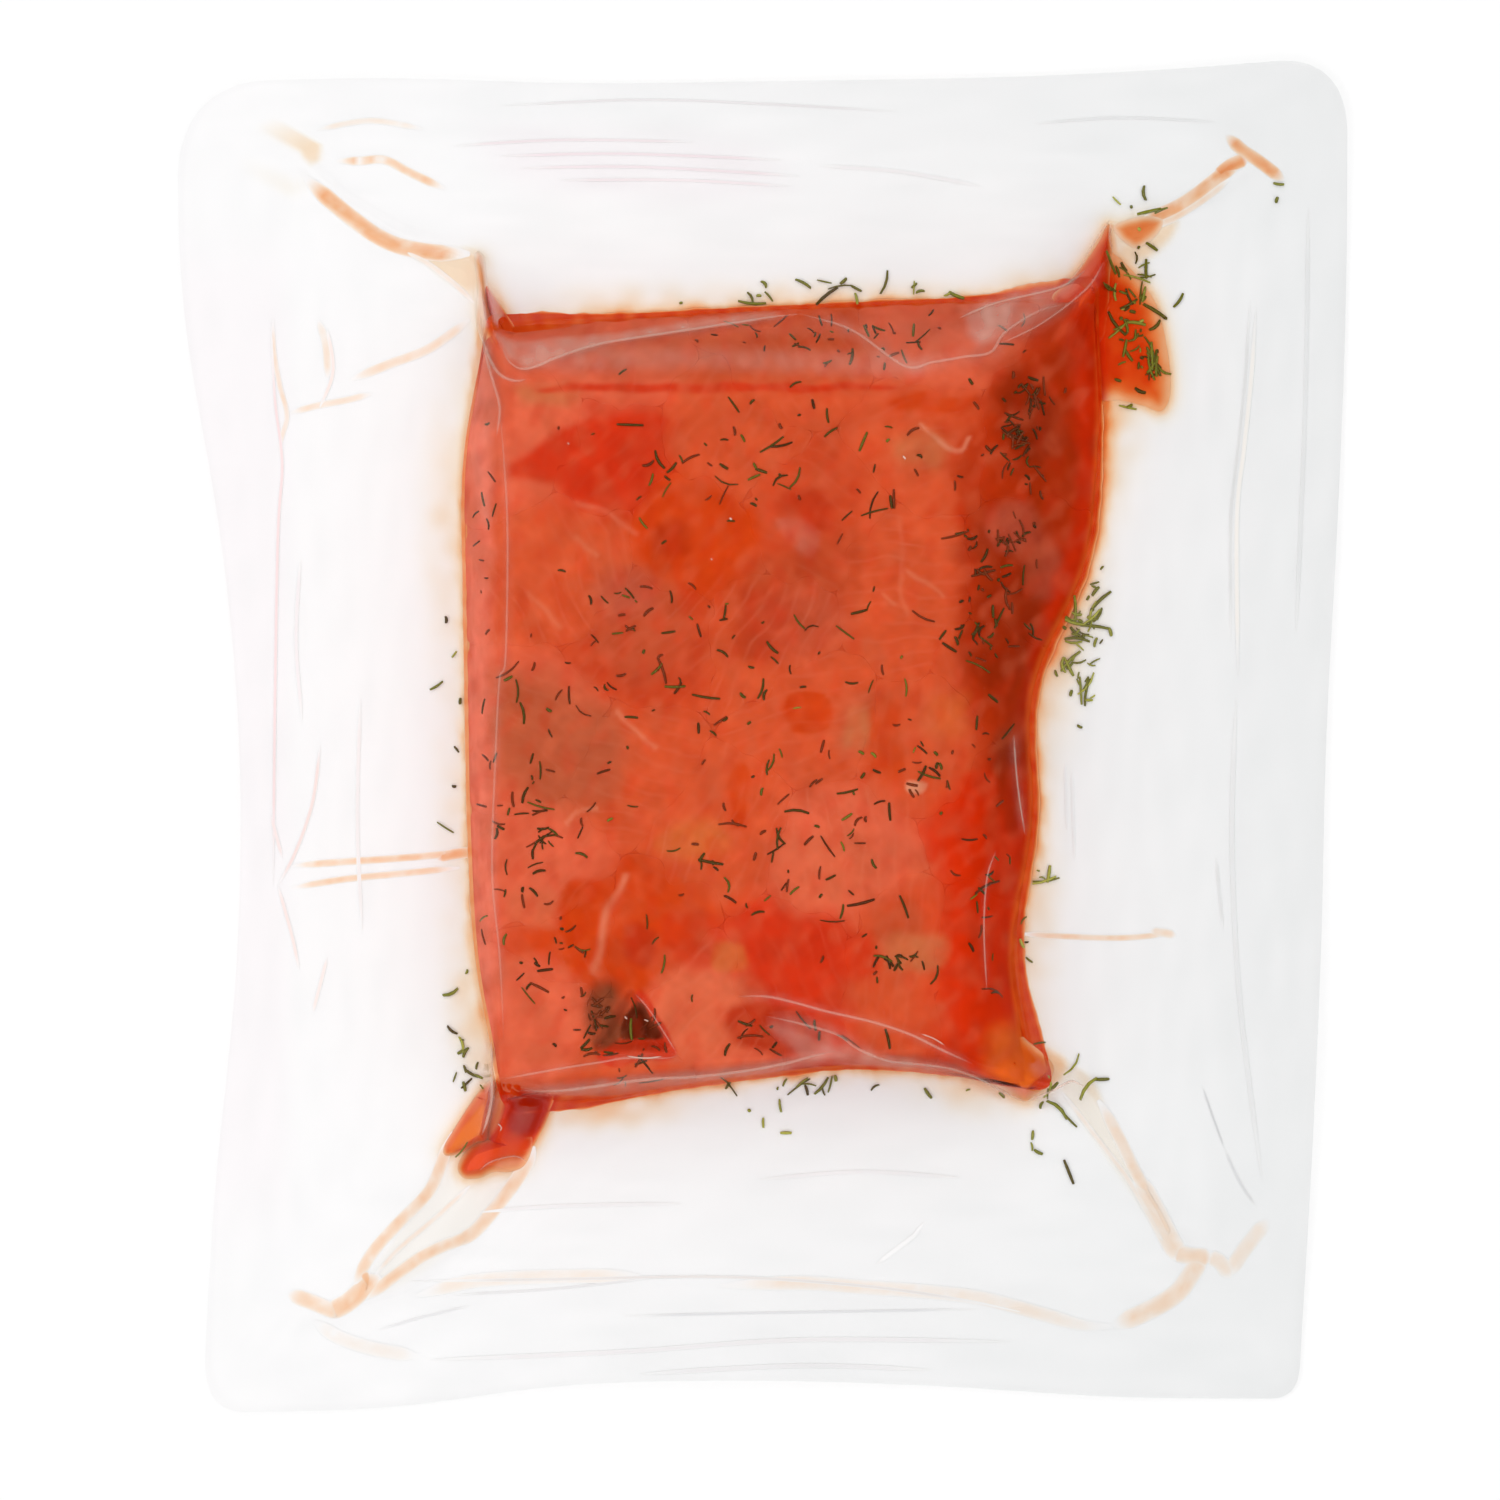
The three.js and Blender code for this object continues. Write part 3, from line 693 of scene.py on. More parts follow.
FOLDS_AND_GLINTS = [  # line, half width, height over the film, haze on the fold, haze and its width beside it; the haze is partly the milky doubled film and partly painted sheen
    ([(-42.5, 63.6), (-41.5, 61.4), (-39.5, 60.1), (-36.8, 60.6), (-33.5, 62.1), (-26.8, 64.4),
        (-18.5, 65.9), (-6.8, 67.8), (1.5, 69.2), (6.5, 69.8)], 0.3, 0.4, 0.36, 0.05, 0.8),
    ([(6.5, 69.8), (14.7, 66.9), (23.5, 60.6), (28.2, 61.2), (33.3, 62.1), (37.8, 62.9), (40.3, 66.4),
        (46.5, 70.4), (51, 71.1)], 0.28, 0.3, 0.28, 0.08, 1.4),
    ([(-46.5, 69.4), (-46.2, 65.8), (-44.8, 62.1), (-43, 59.2), (-40.5, 58.1), (-38.5, 58.4)], 0.28,
        0.35, 0.3, 0.05, 0.7),
    ([(-46.2, 64.9), (-44.2, 58.2), (-43, 53.8), (-43.5, 49.1)], 0.25, 0.2, 0.26, 0.05, 0.8),
    ([(-43, 53.8), (-41.7, 35.1), (-42, 12.8), (-43, 8.9), (-43.7, -4.6), (-44.2, -22.6), (-43, -36.1),
        (-42.3, -50.2)], 0.22, 0.15, 0.2, 0.05, 0.8),
    ([(-3.8, -43.1), (1, -43.1), (5.7, -44.1), (10.3, -45.4), (18.2, -47.2), (24.3, -49.2),
        (29.2, -51.6), (34.7, -54.2)], 0.28, 0.4, 0.3, 0.08, 0.7),
    ([(1, -46.4), (5.8, -47.4), (12.2, -49.2), (15.2, -51.2), (17.5, -52.4), (21.5, -53.8),
        (29.3, -54.8), (34.2, -56.2), (39.5, -58.9), (43.2, -60.6)], 0.28, 0.4, 0.3, 0.12, 1.2),
    ([(-40.2, -58.8), (-33.3, -58.8), (-19.7, -56.9), (-10.2, -56.4), (-2.2, -55.4), (4.2, -54.1),
        (8.8, -52.8), (12.2, -52.1)], 0.32, 0.4, 0.34, 0.14, 1),
    ([(-42.2, -56.6), (-33, -54.9), (-26, -53.8), (-22.3, -53.2), (-15.3, -53.2), (-13.7, -52.6)], 0.22,
        0.3, 0.26, 0.06, 0.6),
    ([(38.7, -19.2), (37.2, -23.6), (36.7, -31.9), (37.2, -42.2)], 0.18, 0.2, 0.32, 0.03, 0.6),
    ([(41.8, -0.1), (42.2, -5.9), (42.8, -10.9), (43.8, -16.6)], 0.2, 0.2, 0.4, 0.09, 0.7),
    ([(53.7, 76.9), (49.5, 74.4), (39.5, 71.9), (32.8, 68.9)], 0.3, 0.35, 0.4, 0.12, 1.4),
    ([(39.5, 64.4), (46.2, 67.8), (53.7, 73.6), (56.7, 78.2)], 0.2, 0.25, 0.24, 0.05, 1),
    ([(-44.5, -50.6), (-44.5, -56.9), (-44.8, -61.1), (-45.5, -64.2), (-46.3, -66.4)], 0.3, 0.16, 0.55,
        0.1, 0.8),
    ([(-46.7, -72.4), (-45.2, -71.1), (-43, -70.4), (-40.8, -70.2), (-39, -71.1)], 0.18, 0.2, 0.3, 0.05,
        0.6),
    ([(57.8, 85.4), (54.8, 80.8), (52.7, 77.1), (50.8, 74.8)], 0.22, 0.25, 0.34, 0.06, 0.6),
    ([(58, 84.8), (57.8, 82.4), (58.5, 80.4)], 0.3, 0.2, 0.34, 0.06, 0.6),
    ([(44.3, -61.2), (47.3, -59.6), (50.2, -58.1), (51.8, -57.6), (53.8, -58.6)], 0.24, 0.25, 0.42,
        0.05, 0.6),
    ([(35.8, -56.9), (39.5, -58.9), (41.8, -60.2), (44.2, -61.2)], 0.22, 0.2, 0.3, 0.05, 0.6),
    # painted glints: the short rows below, with strong haze and no haze beside them, stand for
    # highlights, not folds
    ([(-22.2, -52.8), (-20.5, -53.1), (-18.5, -53.2), (-16.2, -52.9)], 0.14, 0.15, 0.85, 0, 0.5),
    ([(-22.5, -46.4), (-22, -46.9)], 0.16, 0.15, 0.9, 0, 0.5),
    ([(-19.3, -46.9), (-18.5, -47.2)], 0.16, 0.15, 0.9, 0, 0.5),
    ([(26.2, -49.2), (28.2, -49.9), (30.2, -51.1)], 0.14, 0.15, 0.7, 0, 0.5),
    ([(-20.7, -42.6), (-18.5, -45.1), (-16.2, -48.6), (-14, -52.2)], 0.16, 0.2, 0.26, 0.03, 0.5),
    ([(23.3, 45.8), (23.8, 45.2)], 0.2, 0.15, 0.8, 0, 0.5),
    ([(-5.2, 35.6), (-4.8, 35.2)], 0.2, 0.15, 0.8, 0, 0.5),
    ([(-8.3, 28.9), (-8, 28.6)], 0.14, 0.15, 0.7, 0, 0.5),
    ([(-31.8, 47.9), (-31.5, 47.6)], 0.14, 0.15, 0.6, 0, 0.5),
    ([(-43.7, -64.4), (-43, -65.1), (-43.3, -65.8)], 0.14, 0.15, 0.7, 0, 0.5),
]

FILM_MILK_AND_SHEEN = [  # strength, softness and corners of the milky zones of the film, partly its own milkiness and partly painted sheen on its slopes and folds
    (0.26, 1.6, [(-44, 66.1), (-40.2, 64.9), (-33.5, 65.6), (-23.5, 66.4), (-10.2, 68.8), (1.5, 70.1),
        (1.5, 69.1), (-10.2, 67.2), (-23.5, 64.9), (-33.5, 62.1), (-37.7, 60.4), (-40.5, 61.1),
        (-42.7, 63.8)]),
    (0.08, 2.5, [(-47.5, 64.9), (-44.8, 64.9), (-43.7, 55.8), (-43.8, 49.1), (-44.5, 35.8),
        (-45.8, 35.8), (-47.8, 44.1), (-48.5, 55.8)]),
    (0.03, 2.5, [(-47.8, 35.8), (-44.2, 35.8), (-43.5, 5.8), (-44.5, -35.9), (-45.8, -35.9),
        (-46.8, -4.2)]),
    (0.34, 3, [(35.7, 70.4), (39.8, 71.6), (41.2, 69.4), (39.5, 66.1), (36.5, 64.4), (34.5, 66.1)]),
    (0.16, 3, [(40.3, 72.4), (50.8, 74.8), (50.5, 72.8), (47.2, 69.8), (42.5, 67.1), (40.3, 67.8)]),
    (0.03, 4, [(-10.2, 67.8), (33.2, 68.2), (36.5, 64.1), (23.2, 61.4), (13.2, 65.8), (-10.2, 64.9)]),
    (0.12, 3, [(-33.5, 63.8), (23.2, 62.4), (23.2, 59.1), (-10.2, 60.4), (-33.5, 59.8)]),
    (0.1, 3, [(-36.8, -58.4), (-20.2, -56.6), (-0.2, -54.6), (11.5, -52.2), (13.2, -52.9),
        (-0.2, -57.2), (-20.2, -59.6), (-36.8, -60.2)]),
    (0.16, 2, [(1.5, -47.2), (14.8, -51.6), (28.2, -54.8), (39.8, -59.2), (33.2, -58.2), (19.8, -55.2),
        (6.5, -52.6)]),
    (0.06, 1.6, [(2.5, 34.9), (6.5, 35.4), (9.5, 32.4), (8.5, 29.8), (5.8, 30.4)]),
]


def film_haze_and_sheen(x, y):
    """The soft lines beside the folds and the milky zones, added up: partly the film's milkiness and
    partly painted sheen.
    """
    haze = np.zeros(np.shape(x))
    for line, _, _, _, beside, width in FOLDS_AND_GLINTS:
        haze = haze + beside * stroke(x, y, line, width, 0.1)
    for strength, soft, corners in FILM_MILK_AND_SHEEN:
        haze = haze + strength * blot(x, y, corners, soft)
    uneven = 1.0 + 0.35 * wobble(x, y, 6.0, 81)
    return np.clip(haze * uneven, 0.0, 0.8)


STAIN_SHARE = 0.3
CLEAREST, GREYEST = np.array([0.985, 0.981, 0.983]), np.array([0.912, 0.916, 0.917])
PINKISH = np.array([1.0, 0.982, 0.989])
PINK_PATCH = [(-45, 100), (-20, 99.5), (0, 97), (2, 90), (-20, 90), (-40, 92)]
LOBE = [(50, 84), (72, 82), (72, 50), (50, 50)]
# painted levels of the film's reflection, set to suit the light
SHINE_ON_FISH, SHINE_AT_RIGHT, SHINE_ON_FOLDS = 0.1, 0.05, 0.1


def base_paint(x, y):
    """Tint, stain and cover of the base film under the thin marinade: together they colour the
    white table as the marinade's depth does, most of it by the tint, which light passes twice."""
    depth = film_juice(x, y)
    seen = juice_over_white(depth)
    cover = STAIN_SHARE * (1.0 - np.exp(-EXTINCTION[2] * depth))
    stain = np.clip(1.1 * juice_over_white(depth + 0.5), 0.0, 0.97)
    left = seen - cover[:, None] * stain
    tint = np.sqrt(np.clip(left / (TABLE_WHITE * (1.0 - cover[:, None]) ** 2), 0.0, 0.995))
    return tint, stain, cover


def film_tint(x, y):
    """The clear film is greyer towards the right and on the welded band, lighter towards the left,
    pinkish on the left band and in a patch at the top, and streaked along its edges. The greying
    towards the right is painted shade, and the lighter film near the block's foot is painted light
    that takes away the block's shade on the skirt."""
    outside = np.max([-POCKET.inside_by(k, x, y) for k in range(4)], axis=0)
    band = smoothstep(outside / 4.0 + 0.5)
    upright = smoothstep((np.abs(x) - 0.88 * np.abs(y)) / 16.0 + 0.5)
    along = lerp(wobble(0.4 * x, 3.0 * y, 14.0, 7), wobble(3.0 * x, 0.4 * y, 14.0, 6), upright)
    # painted shade: the film greys towards the right
    grey = 0.45 + 0.0054 * x + 0.1 * band + 0.05 * wobble(x, y, 60.0, 5) + 0.13 * along
    # painted light: lighter near the block's foot, against the block's shade on the skirt
    grey = grey - 0.4 * np.exp(-foot_distance(x, y) / 6.0)
    tint = lerp(CLEAREST, GREYEST, np.clip(grey, 0.0, 1.2)[:, None])
    patch = 0.9 * blot(x, y, PINK_PATCH, 9.0) * (1.0 + 0.3 * along)
    left_band = 0.6 * smoothstep((-x - 77.0) / 4.0) * smoothstep((90.0 - np.abs(y)) / 20.0)
    return tint * lerp(1.0, PINKISH, np.maximum(patch, left_band)[:, None])


def film_shine(x, y):
    """Share of the mirror reflection that shows, a painted level of reflection set to suit the light:
    little over the fish and in the lobe at the right, least on the right side, where the table's
    reflection is taken out, and all of it on the skirt."""
    block = smoothstep(block_height(x, y) / 2.0)
    right = smoothstep((x - 30.0) / 8.0)
    shine = lerp(1.0, lerp(SHINE_ON_FISH, SHINE_AT_RIGHT, right), block)
    return np.minimum(shine, lerp(1.0, SHINE_ON_FISH, blot(x, y, LOBE, 4.0)))


FILM_AROUND = 640
TOP_RINGS = np.linspace(0, 1, 55)[1:]
SLOPE_RINGS = np.linspace(0, 1, 27)[1:]
SKIRT_RINGS = np.concatenate([np.linspace(0, 0.12, 6)[1:], np.linspace(0.12, 1, 18)[1:-1]])
BAND_RINGS = np.linspace(0, 1, 8)
BASE_RINGS = np.concatenate([np.linspace(1, 0.12, 32)[:-1], np.linspace(0.12, 0, 13)])


def film_bag():
    """The closed envelope of the two films. The top side is a set of rings, from the middle of the
    block over its shoulder and foot to the pocket's edge and out over the welded band; the under
    side is flat, and rises with the band at its edge."""
    turns = uneven_turns(FILM_AROUND, CORNER_CROWDS + CREASE_CROWDS)
    block_top, foot = BLOCK_TOP.at(turns), skirt_at(turns, 0.0)
    rings = [lerp(np.array(MIDDLE), block_top, share) for share in TOP_RINGS]
    rings += [lerp(block_top, foot, share) for share in SLOPE_RINGS]
    rings += [skirt_at(turns, reach) for reach in SKIRT_RINGS]
    plan = np.stack(rings)
    height = film_height(plan[..., 0], plan[..., 1]) + crinkle(plan[..., 0], plan[..., 1])
    edge = skirt_at(turns, 1.0)
    film_edge = FILM_EDGE.at(turns)
    band_plan = np.stack([lerp(edge, film_edge, outward) for outward in BAND_RINGS])
    away = np.hypot(*(band_plan - edge).transpose(2, 0, 1))
    rim = POCKET_RIM * ridge(away, POCKET_RIM_WIDTH)
    lift = np.stack([band_lift(turns, outward) for outward in BAND_RINGS])
    rough = crinkle(band_plan[..., 0], band_plan[..., 1])
    band_height = SKIRT_THICKNESS + rim + lift + rough * (1 - BAND_RINGS[:, None])
    under = [film_edge, lerp(edge, film_edge, 0.5)]
    under += [skirt_at(turns, reach) for reach in BASE_RINGS]
    under_plan = np.stack([*under, 0.5 * BLOCK_FOOT.at(turns)])
    under_height = np.zeros(under_plan.shape[:2])
    under_height[0] = band_lift(turns, 1.0)
    under_height[1] = 0.5 * band_lift(turns, 0.5)
    all_plan = np.concatenate([plan, band_plan, under_plan])
    all_height = np.concatenate([height, band_height, under_height])
    points = capped_points((*MIDDLE, height_at(film_height, MIDDLE)), raised(all_plan, all_height),
                           (*MIDDLE, 0.0))
    count = len(all_plan)
    faces = capped_faces(count, FILM_AROUND)
    x, y = points[:, 0], points[:, 1]
    below = np.arange(len(points)) > (count - len(under_plan)) * FILM_AROUND
    tint, stain, cover = base_paint(x, y)
    over = ~below[:, None]
    # on the top side, cover and stain are the milky film with its painted sheen and glints
    return new_piece("film_bag", points, faces, FILM,
                     {"cover": np.where(below, cover, film_haze_and_sheen(x, y)),
                      "shine": np.where(below, 0.0, film_shine(x, y))},
                     {"stain": np.where(over, HAZE_AND_SHEEN_COLOUR, stain),
                      "tint": np.where(over, film_tint(x, y), tint)})


def swept_line(line, half, height, base, spacing=0.6, sink=0.12, arch=5):
    """A thin closed ridge along a line: at each station an arch of points over a flat foot of
    three, tapering to a point at both ends. Its foot stands "sink" below the surface "base"."""
    path = np.array(rounded(line, steps=12))
    steps = np.hypot(*np.diff(path, axis=0).T)
    along = np.concatenate([[0], np.cumsum(steps)])
    count = max(int(along[-1] / spacing), 6)
    at = np.linspace(0, along[-1], count)
    x, y = np.interp(at, along, path[:, 0]), np.interp(at, along, path[:, 1])
    dx, dy = np.gradient(x), np.gradient(y)
    length = np.hypot(dx, dy)
    side = np.stack([-dy / length, dx / length], axis=1)
    taper = np.sqrt(np.clip(np.sin(np.pi * np.linspace(0.0, 1, count)), 0.03, 1))
    taper = np.minimum(1.0, taper * 1.5)
    angle = np.linspace(0, np.pi, arch)
    around = arch + 3
    across = np.concatenate([np.cos(angle), [-0.5, 0.0, 0.5]])
    up = np.concatenate([np.sin(angle) ** 0.8, [0.0, 0.0, 0.0]])
    low = np.concatenate([np.zeros(arch), np.ones(3)]) + np.isin(np.arange(around), [0, arch - 1])
    plan = np.stack([x, y], axis=1)[:, None, :]
    plan = plan + side[:, None, :] * (across * half)[None, :, None] * taper[:, None, None]
    surface = base(plan[..., 0], plan[..., 1])
    z = surface + up * height * taper[:, None] - np.minimum(low, 1) * sink
    body = raised(plan, z)
    points = capped_points(body[0].mean(axis=0), body, body[-1].mean(axis=0))
    return points, capped_faces(count, around), np.tile(up, count) * np.repeat(taper, around)


STRIP_HEIGHT, STRIP_SINK, STRIP_ARCH = 0.02, 0.005, 9


def soft_strips(rows, base, spacing):
    """Flat closed strips along lines, and for each of their points the share of the line's strength
    there: 1 in the middle, 0 at both sides, and less towards the ends."""
    parts, shares = [], []
    around = STRIP_ARCH + 3
    for half, line in rows:
        points, faces, crown = swept_line(line, half, STRIP_HEIGHT, lambda x, y: 0.0 * x + base,
                                          spacing, STRIP_SINK, STRIP_ARCH)
        parts.append((points, faces))
        way = np.repeat(np.linspace(0.0, 1.0, (len(points) - 2) // around), around)
        ends = smoothstep(way / 0.16) * smoothstep((1.0 - way) / 0.16)
        shares.append(np.concatenate([[0.0], crown ** 1.6 * ends, [0.0]]))
    points, faces = joined(parts)
    return points, faces, shares


FILM_WRINKLES = [  # colour as seen, half width, line; the grey and white colours are painted shade and painted highlights of the creases, and the pinkish ones also thin marinade
    ((244, 214, 214), 0.22, [(-81.7, 68.8), (-81, 55.8), (-79.8, 45.2), (-80.5, 33.6), (-81, 5.8),
        (-81.3, -25.2)]),
    ((246, 224, 216), 0.25, [(-72.3, 67.6), (-71.3, 60.6), (-73.5, 54.6)]),
    ((240, 212, 206), 0.25, [(-73.5, -1.8), (-74.7, -11.1), (-77.5, -19.4), (-80.5, -25.2)]),
    ((244, 222, 216), 0.25, [(-80.5, -25.2), (-78.2, -33.4), (-77, -39.2)]),
    ((246, 226, 222), 0.25, [(-81.7, -13.4), (-79.8, -20.6)]),
    ((246, 228, 222), 0.25, [(-72.3, -37.1), (-74.7, -46.4)]),
    ((252, 246, 238), 0.3, [(82.5, 71.1), (81.7, 59.4), (80.5, 47.6), (79.3, 35.8), (79.5, 9.9)]),
    ((222, 222, 222), 0.18, [(81.5, 72.4), (80.7, 59.4), (79.5, 47.6), (78.3, 35.8), (78.3, 15.8)]),
    ((224, 224, 225), 0.2, [(75.8, -20.6), (77, -32.2)]),
    ((196, 196, 200), 0.16, [(73.5, -58.4), (75.2, -63.4), (77.3, -69.2)]),
    ((214, 214, 217), 0.2, [(77.3, -69.2), (79.8, -74.6), (82.5, -78.6)]),
    ((230, 231, 232), 0.25, [(91.2, 87.6), (90.7, 54.6), (89.2, 17.1)]),
    ((234, 234, 235), 0.3, [(79.2, 5.8), (78.5, -17.6), (79.8, -44.2), (83.5, -74.2)]),
    ((226, 218, 214), 0.2, [(-58.2, -91.1), (-34.7, -90.8), (-6.5, -90.4), (17, -91.9), (33.5, -94.2),
        (43.2, -96.2)]),
    ((224, 222, 224), 0.16, [(-51.2, -93.4), (-34.7, -92.4), (-18.2, -90.6)]),
    ((216, 216, 220), 0.16, [(-22.8, -96.9), (0.7, -96.4), (35.8, -95.8)]),
    ((224, 224, 227), 0.16, [(-63.5, -99.2), (-56.8, -97.2), (-48.5, -95.2)]),
    ((238, 234, 236), 0.3, [(-55.2, -104.2), (-23.5, -102.9), (6.5, -100.9), (41.5, -101.2)]),
    ((236, 234, 236), 0.3, [(-20.2, -106.6), (6.5, -105.2), (28.2, -105.9)]),
    ((255, 255, 255), 0.3, [(19.3, -88.2), (22.8, -85.6), (26.5, -82.8)]),
    ((255, 255, 255), 0.2, [(24, -85.2), (27.3, -81.2)]),
    ((228, 222, 225), 0.16, [(-43.5, 104.8), (-20.2, 105.8), (0.7, 105.1), (23.2, 103.8)]),
    ((236, 222, 226), 0.2, [(-51.2, 98.1), (-33.5, 99.1), (-11.2, 98.8)]),
    ((238, 222, 227), 0.2, [(-43.5, 96.4), (-23.5, 96.8), (3.2, 95.8)]),
    ((238, 224, 228), 0.2, [(-40.2, 94.4), (-20.2, 94.6), (6.5, 93.1)]),
    ((240, 228, 231), 0.2, [(-33.5, 92.4), (-13.5, 92.4), (4.8, 91.4)]),
    ((236, 232, 234), 0.25, [(9.8, 94.8), (23.2, 93.8), (36.5, 91.4)]),
    ((228, 228, 230), 0.18, [(45.3, 101.8), (59.8, 102.8), (75.7, 102.1)]),
    ((236, 234, 236), 0.25, [(-46.8, -79.6), (-33.5, -78.6), (-13.5, -78.2)]),
    ((238, 236, 238), 0.25, [(-0.2, -74.2), (16.5, -72.9), (33.2, -73.9)]),
    ((238, 232, 232), 0.25, [(-66.8, 5.8), (-67.3, -14.2), (-66.5, -32.6)]),
    ((240, 232, 234), 0.25, [(-76.8, 29.1), (-77.5, 15.8), (-76.5, 2.4)]),
    ((232, 233, 234), 0.2, [(50.7, -4.6), (51, -15.9)]),
    ((232, 233, 234), 0.2, [(51.8, -5.9), (52.3, -20.9)]),
]


def joined(parts):
    """Several meshes as one: points end to end, faces renumbered."""
    offsets = np.cumsum([0] + [len(points) for points, _ in parts[:-1]])
    points = np.concatenate([points for points, _ in parts])
    faces = np.concatenate([faces + offset for (_, faces), offset in zip(parts, offsets)])
    return points, faces


def film_folds_and_glints():
    """The crisp edges of the folds: thin ridges of doubled film along the listed lines. Their haze is
    partly the milky doubled film and partly painted sheen, and the short ridges of strong haze are
    painted glints.
    """
    parts, haze = [], []
    for line, half, height, milk_and_sheen, _, _ in FOLDS_AND_GLINTS:
        points, faces, crown = swept_line(line, half, height, film_height)
        parts.append((points, faces))
        haze.append(milk_and_sheen * np.concatenate([[0], crown, [0]]))
    points, faces = joined(parts)
    return new_piece("film_folds_and_glints", points, faces, FOLD_FILM,
                     {"cover": np.concatenate(haze), "shine": np.full(len(points), SHINE_ON_FOLDS)},
                     {"stain": np.tile(HAZE_AND_SHEEN_COLOUR, (len(points), 1)),
                      "tint": np.full((len(points), 3), 0.99)})


WRINKLE_WIDTH, WRINKLE_LEVEL = 1.3, 0.7


def film_wrinkles():
    """Creases of the flat film: thin flat strips between the two films, which fade into the colour
    of the table at their sides and ends. Their grey and white colours are painted shade and painted
    highlights of the creases."""
    rows = [(WRINKLE_WIDTH * half, line) for _, half, line in FILM_WRINKLES]
    points, faces, shares = soft_strips(rows, 0.05, 1.2)
    colours = [lerp(TABLE_WHITE, shade(*seen), WRINKLE_LEVEL * share[:, None])
               for share, (seen, _, _) in zip(shares, FILM_WRINKLES)]
    return new_piece("film_wrinkles", points, faces, THIN_MARINADE_AND_CREASE_SHADE, {},
                     {"juice": np.concatenate(colours)}, smooth=False)


# ------------------------------------------------------------------ the pieces of salmon

CORAL, PINK, ORANGE = (210, 83, 45), (218, 97, 66), (203, 62, 13)
RED, DEEP, MAROON = (204, 49, 18), (210, 44, 5), (180, 47, 16)
SMOKE, DIM, BLUSH_AND_SHEEN = (184, 86, 54), (184, 68, 34), (248, 128, 102)
BROWN, OLIVE, TEAL = (176, 47, 9), (196, 118, 74), (92, 58, 36)
DUSK, AMBER = (120, 36, 11), (230, 104, 36)
PALE, CREAM, LILAC = (217, 103, 68), (224, 150, 116), (188, 84, 60)
YELLOW, PIT = (203, 104, 50), (66, 28, 10)

SALMON_PIECES = [  # middle in plan, tone, how strongly its fat lines show
    ((-35.5, 49.2), PINK, 0.25), ((-26.1, 45.9), RED, 0.2), ((-31.1, 27.8), CORAL, 0.5),
    ((-10.5, 32.7), ORANGE, 0.2), ((-4.3, 48.3), CORAL, 0.4), ((7.4, 36.8), (204, 74, 38), 0.3),
    ((23.6, 22.1), CORAL, 0.6), ((28.6, 51.6), CORAL, 0.3), ((44.2, 51.6), BROWN, 0.2),
    ((45.0, 24.5), BROWN, 0.3), ((-19.1, 15.5), (194, 64, 30), 0.4), ((0.6, 15.5), CORAL, 0.6),
    ((-35.5, -1.8), PINK, 0.4), ((-22.4, -6.7), CORAL, 0.5), ((8.0, 3.2), CORAL, 0.5),
    ((28.6, -0.1), CORAL, 0.3), ((40.0, -14.1), DEEP, 0.2), ((12.9, -20.6), PINK, 0.5),
    ((-35.5, -22.3), PINK, 0.4), ((-29.3, -32.1), ORANGE, 0.2), ((-19.6, -33.0), ORANGE, 0.2),
    ((-37.1, -48.6), PINK, 0.3), ((-10.0, -44.5), PINK, 0.6), ((4.7, -37.9), RED, 0.3),
    ((22.8, -36.3), CORAL, 0.4), ((35.1, -37.1), DEEP, 0.2), ((-23.2, -56.0), CORAL, 0.3),
    ((-26.5, 61.5), PINK, 0.3), ((4.7, 62.3), CORAL, 0.4), ((29.4, 63.9), PINK, 0.3),
    ((-7.6, -15.7), CORAL, 0.5), ((39.2, 8.9), BROWN, 0.3),
]

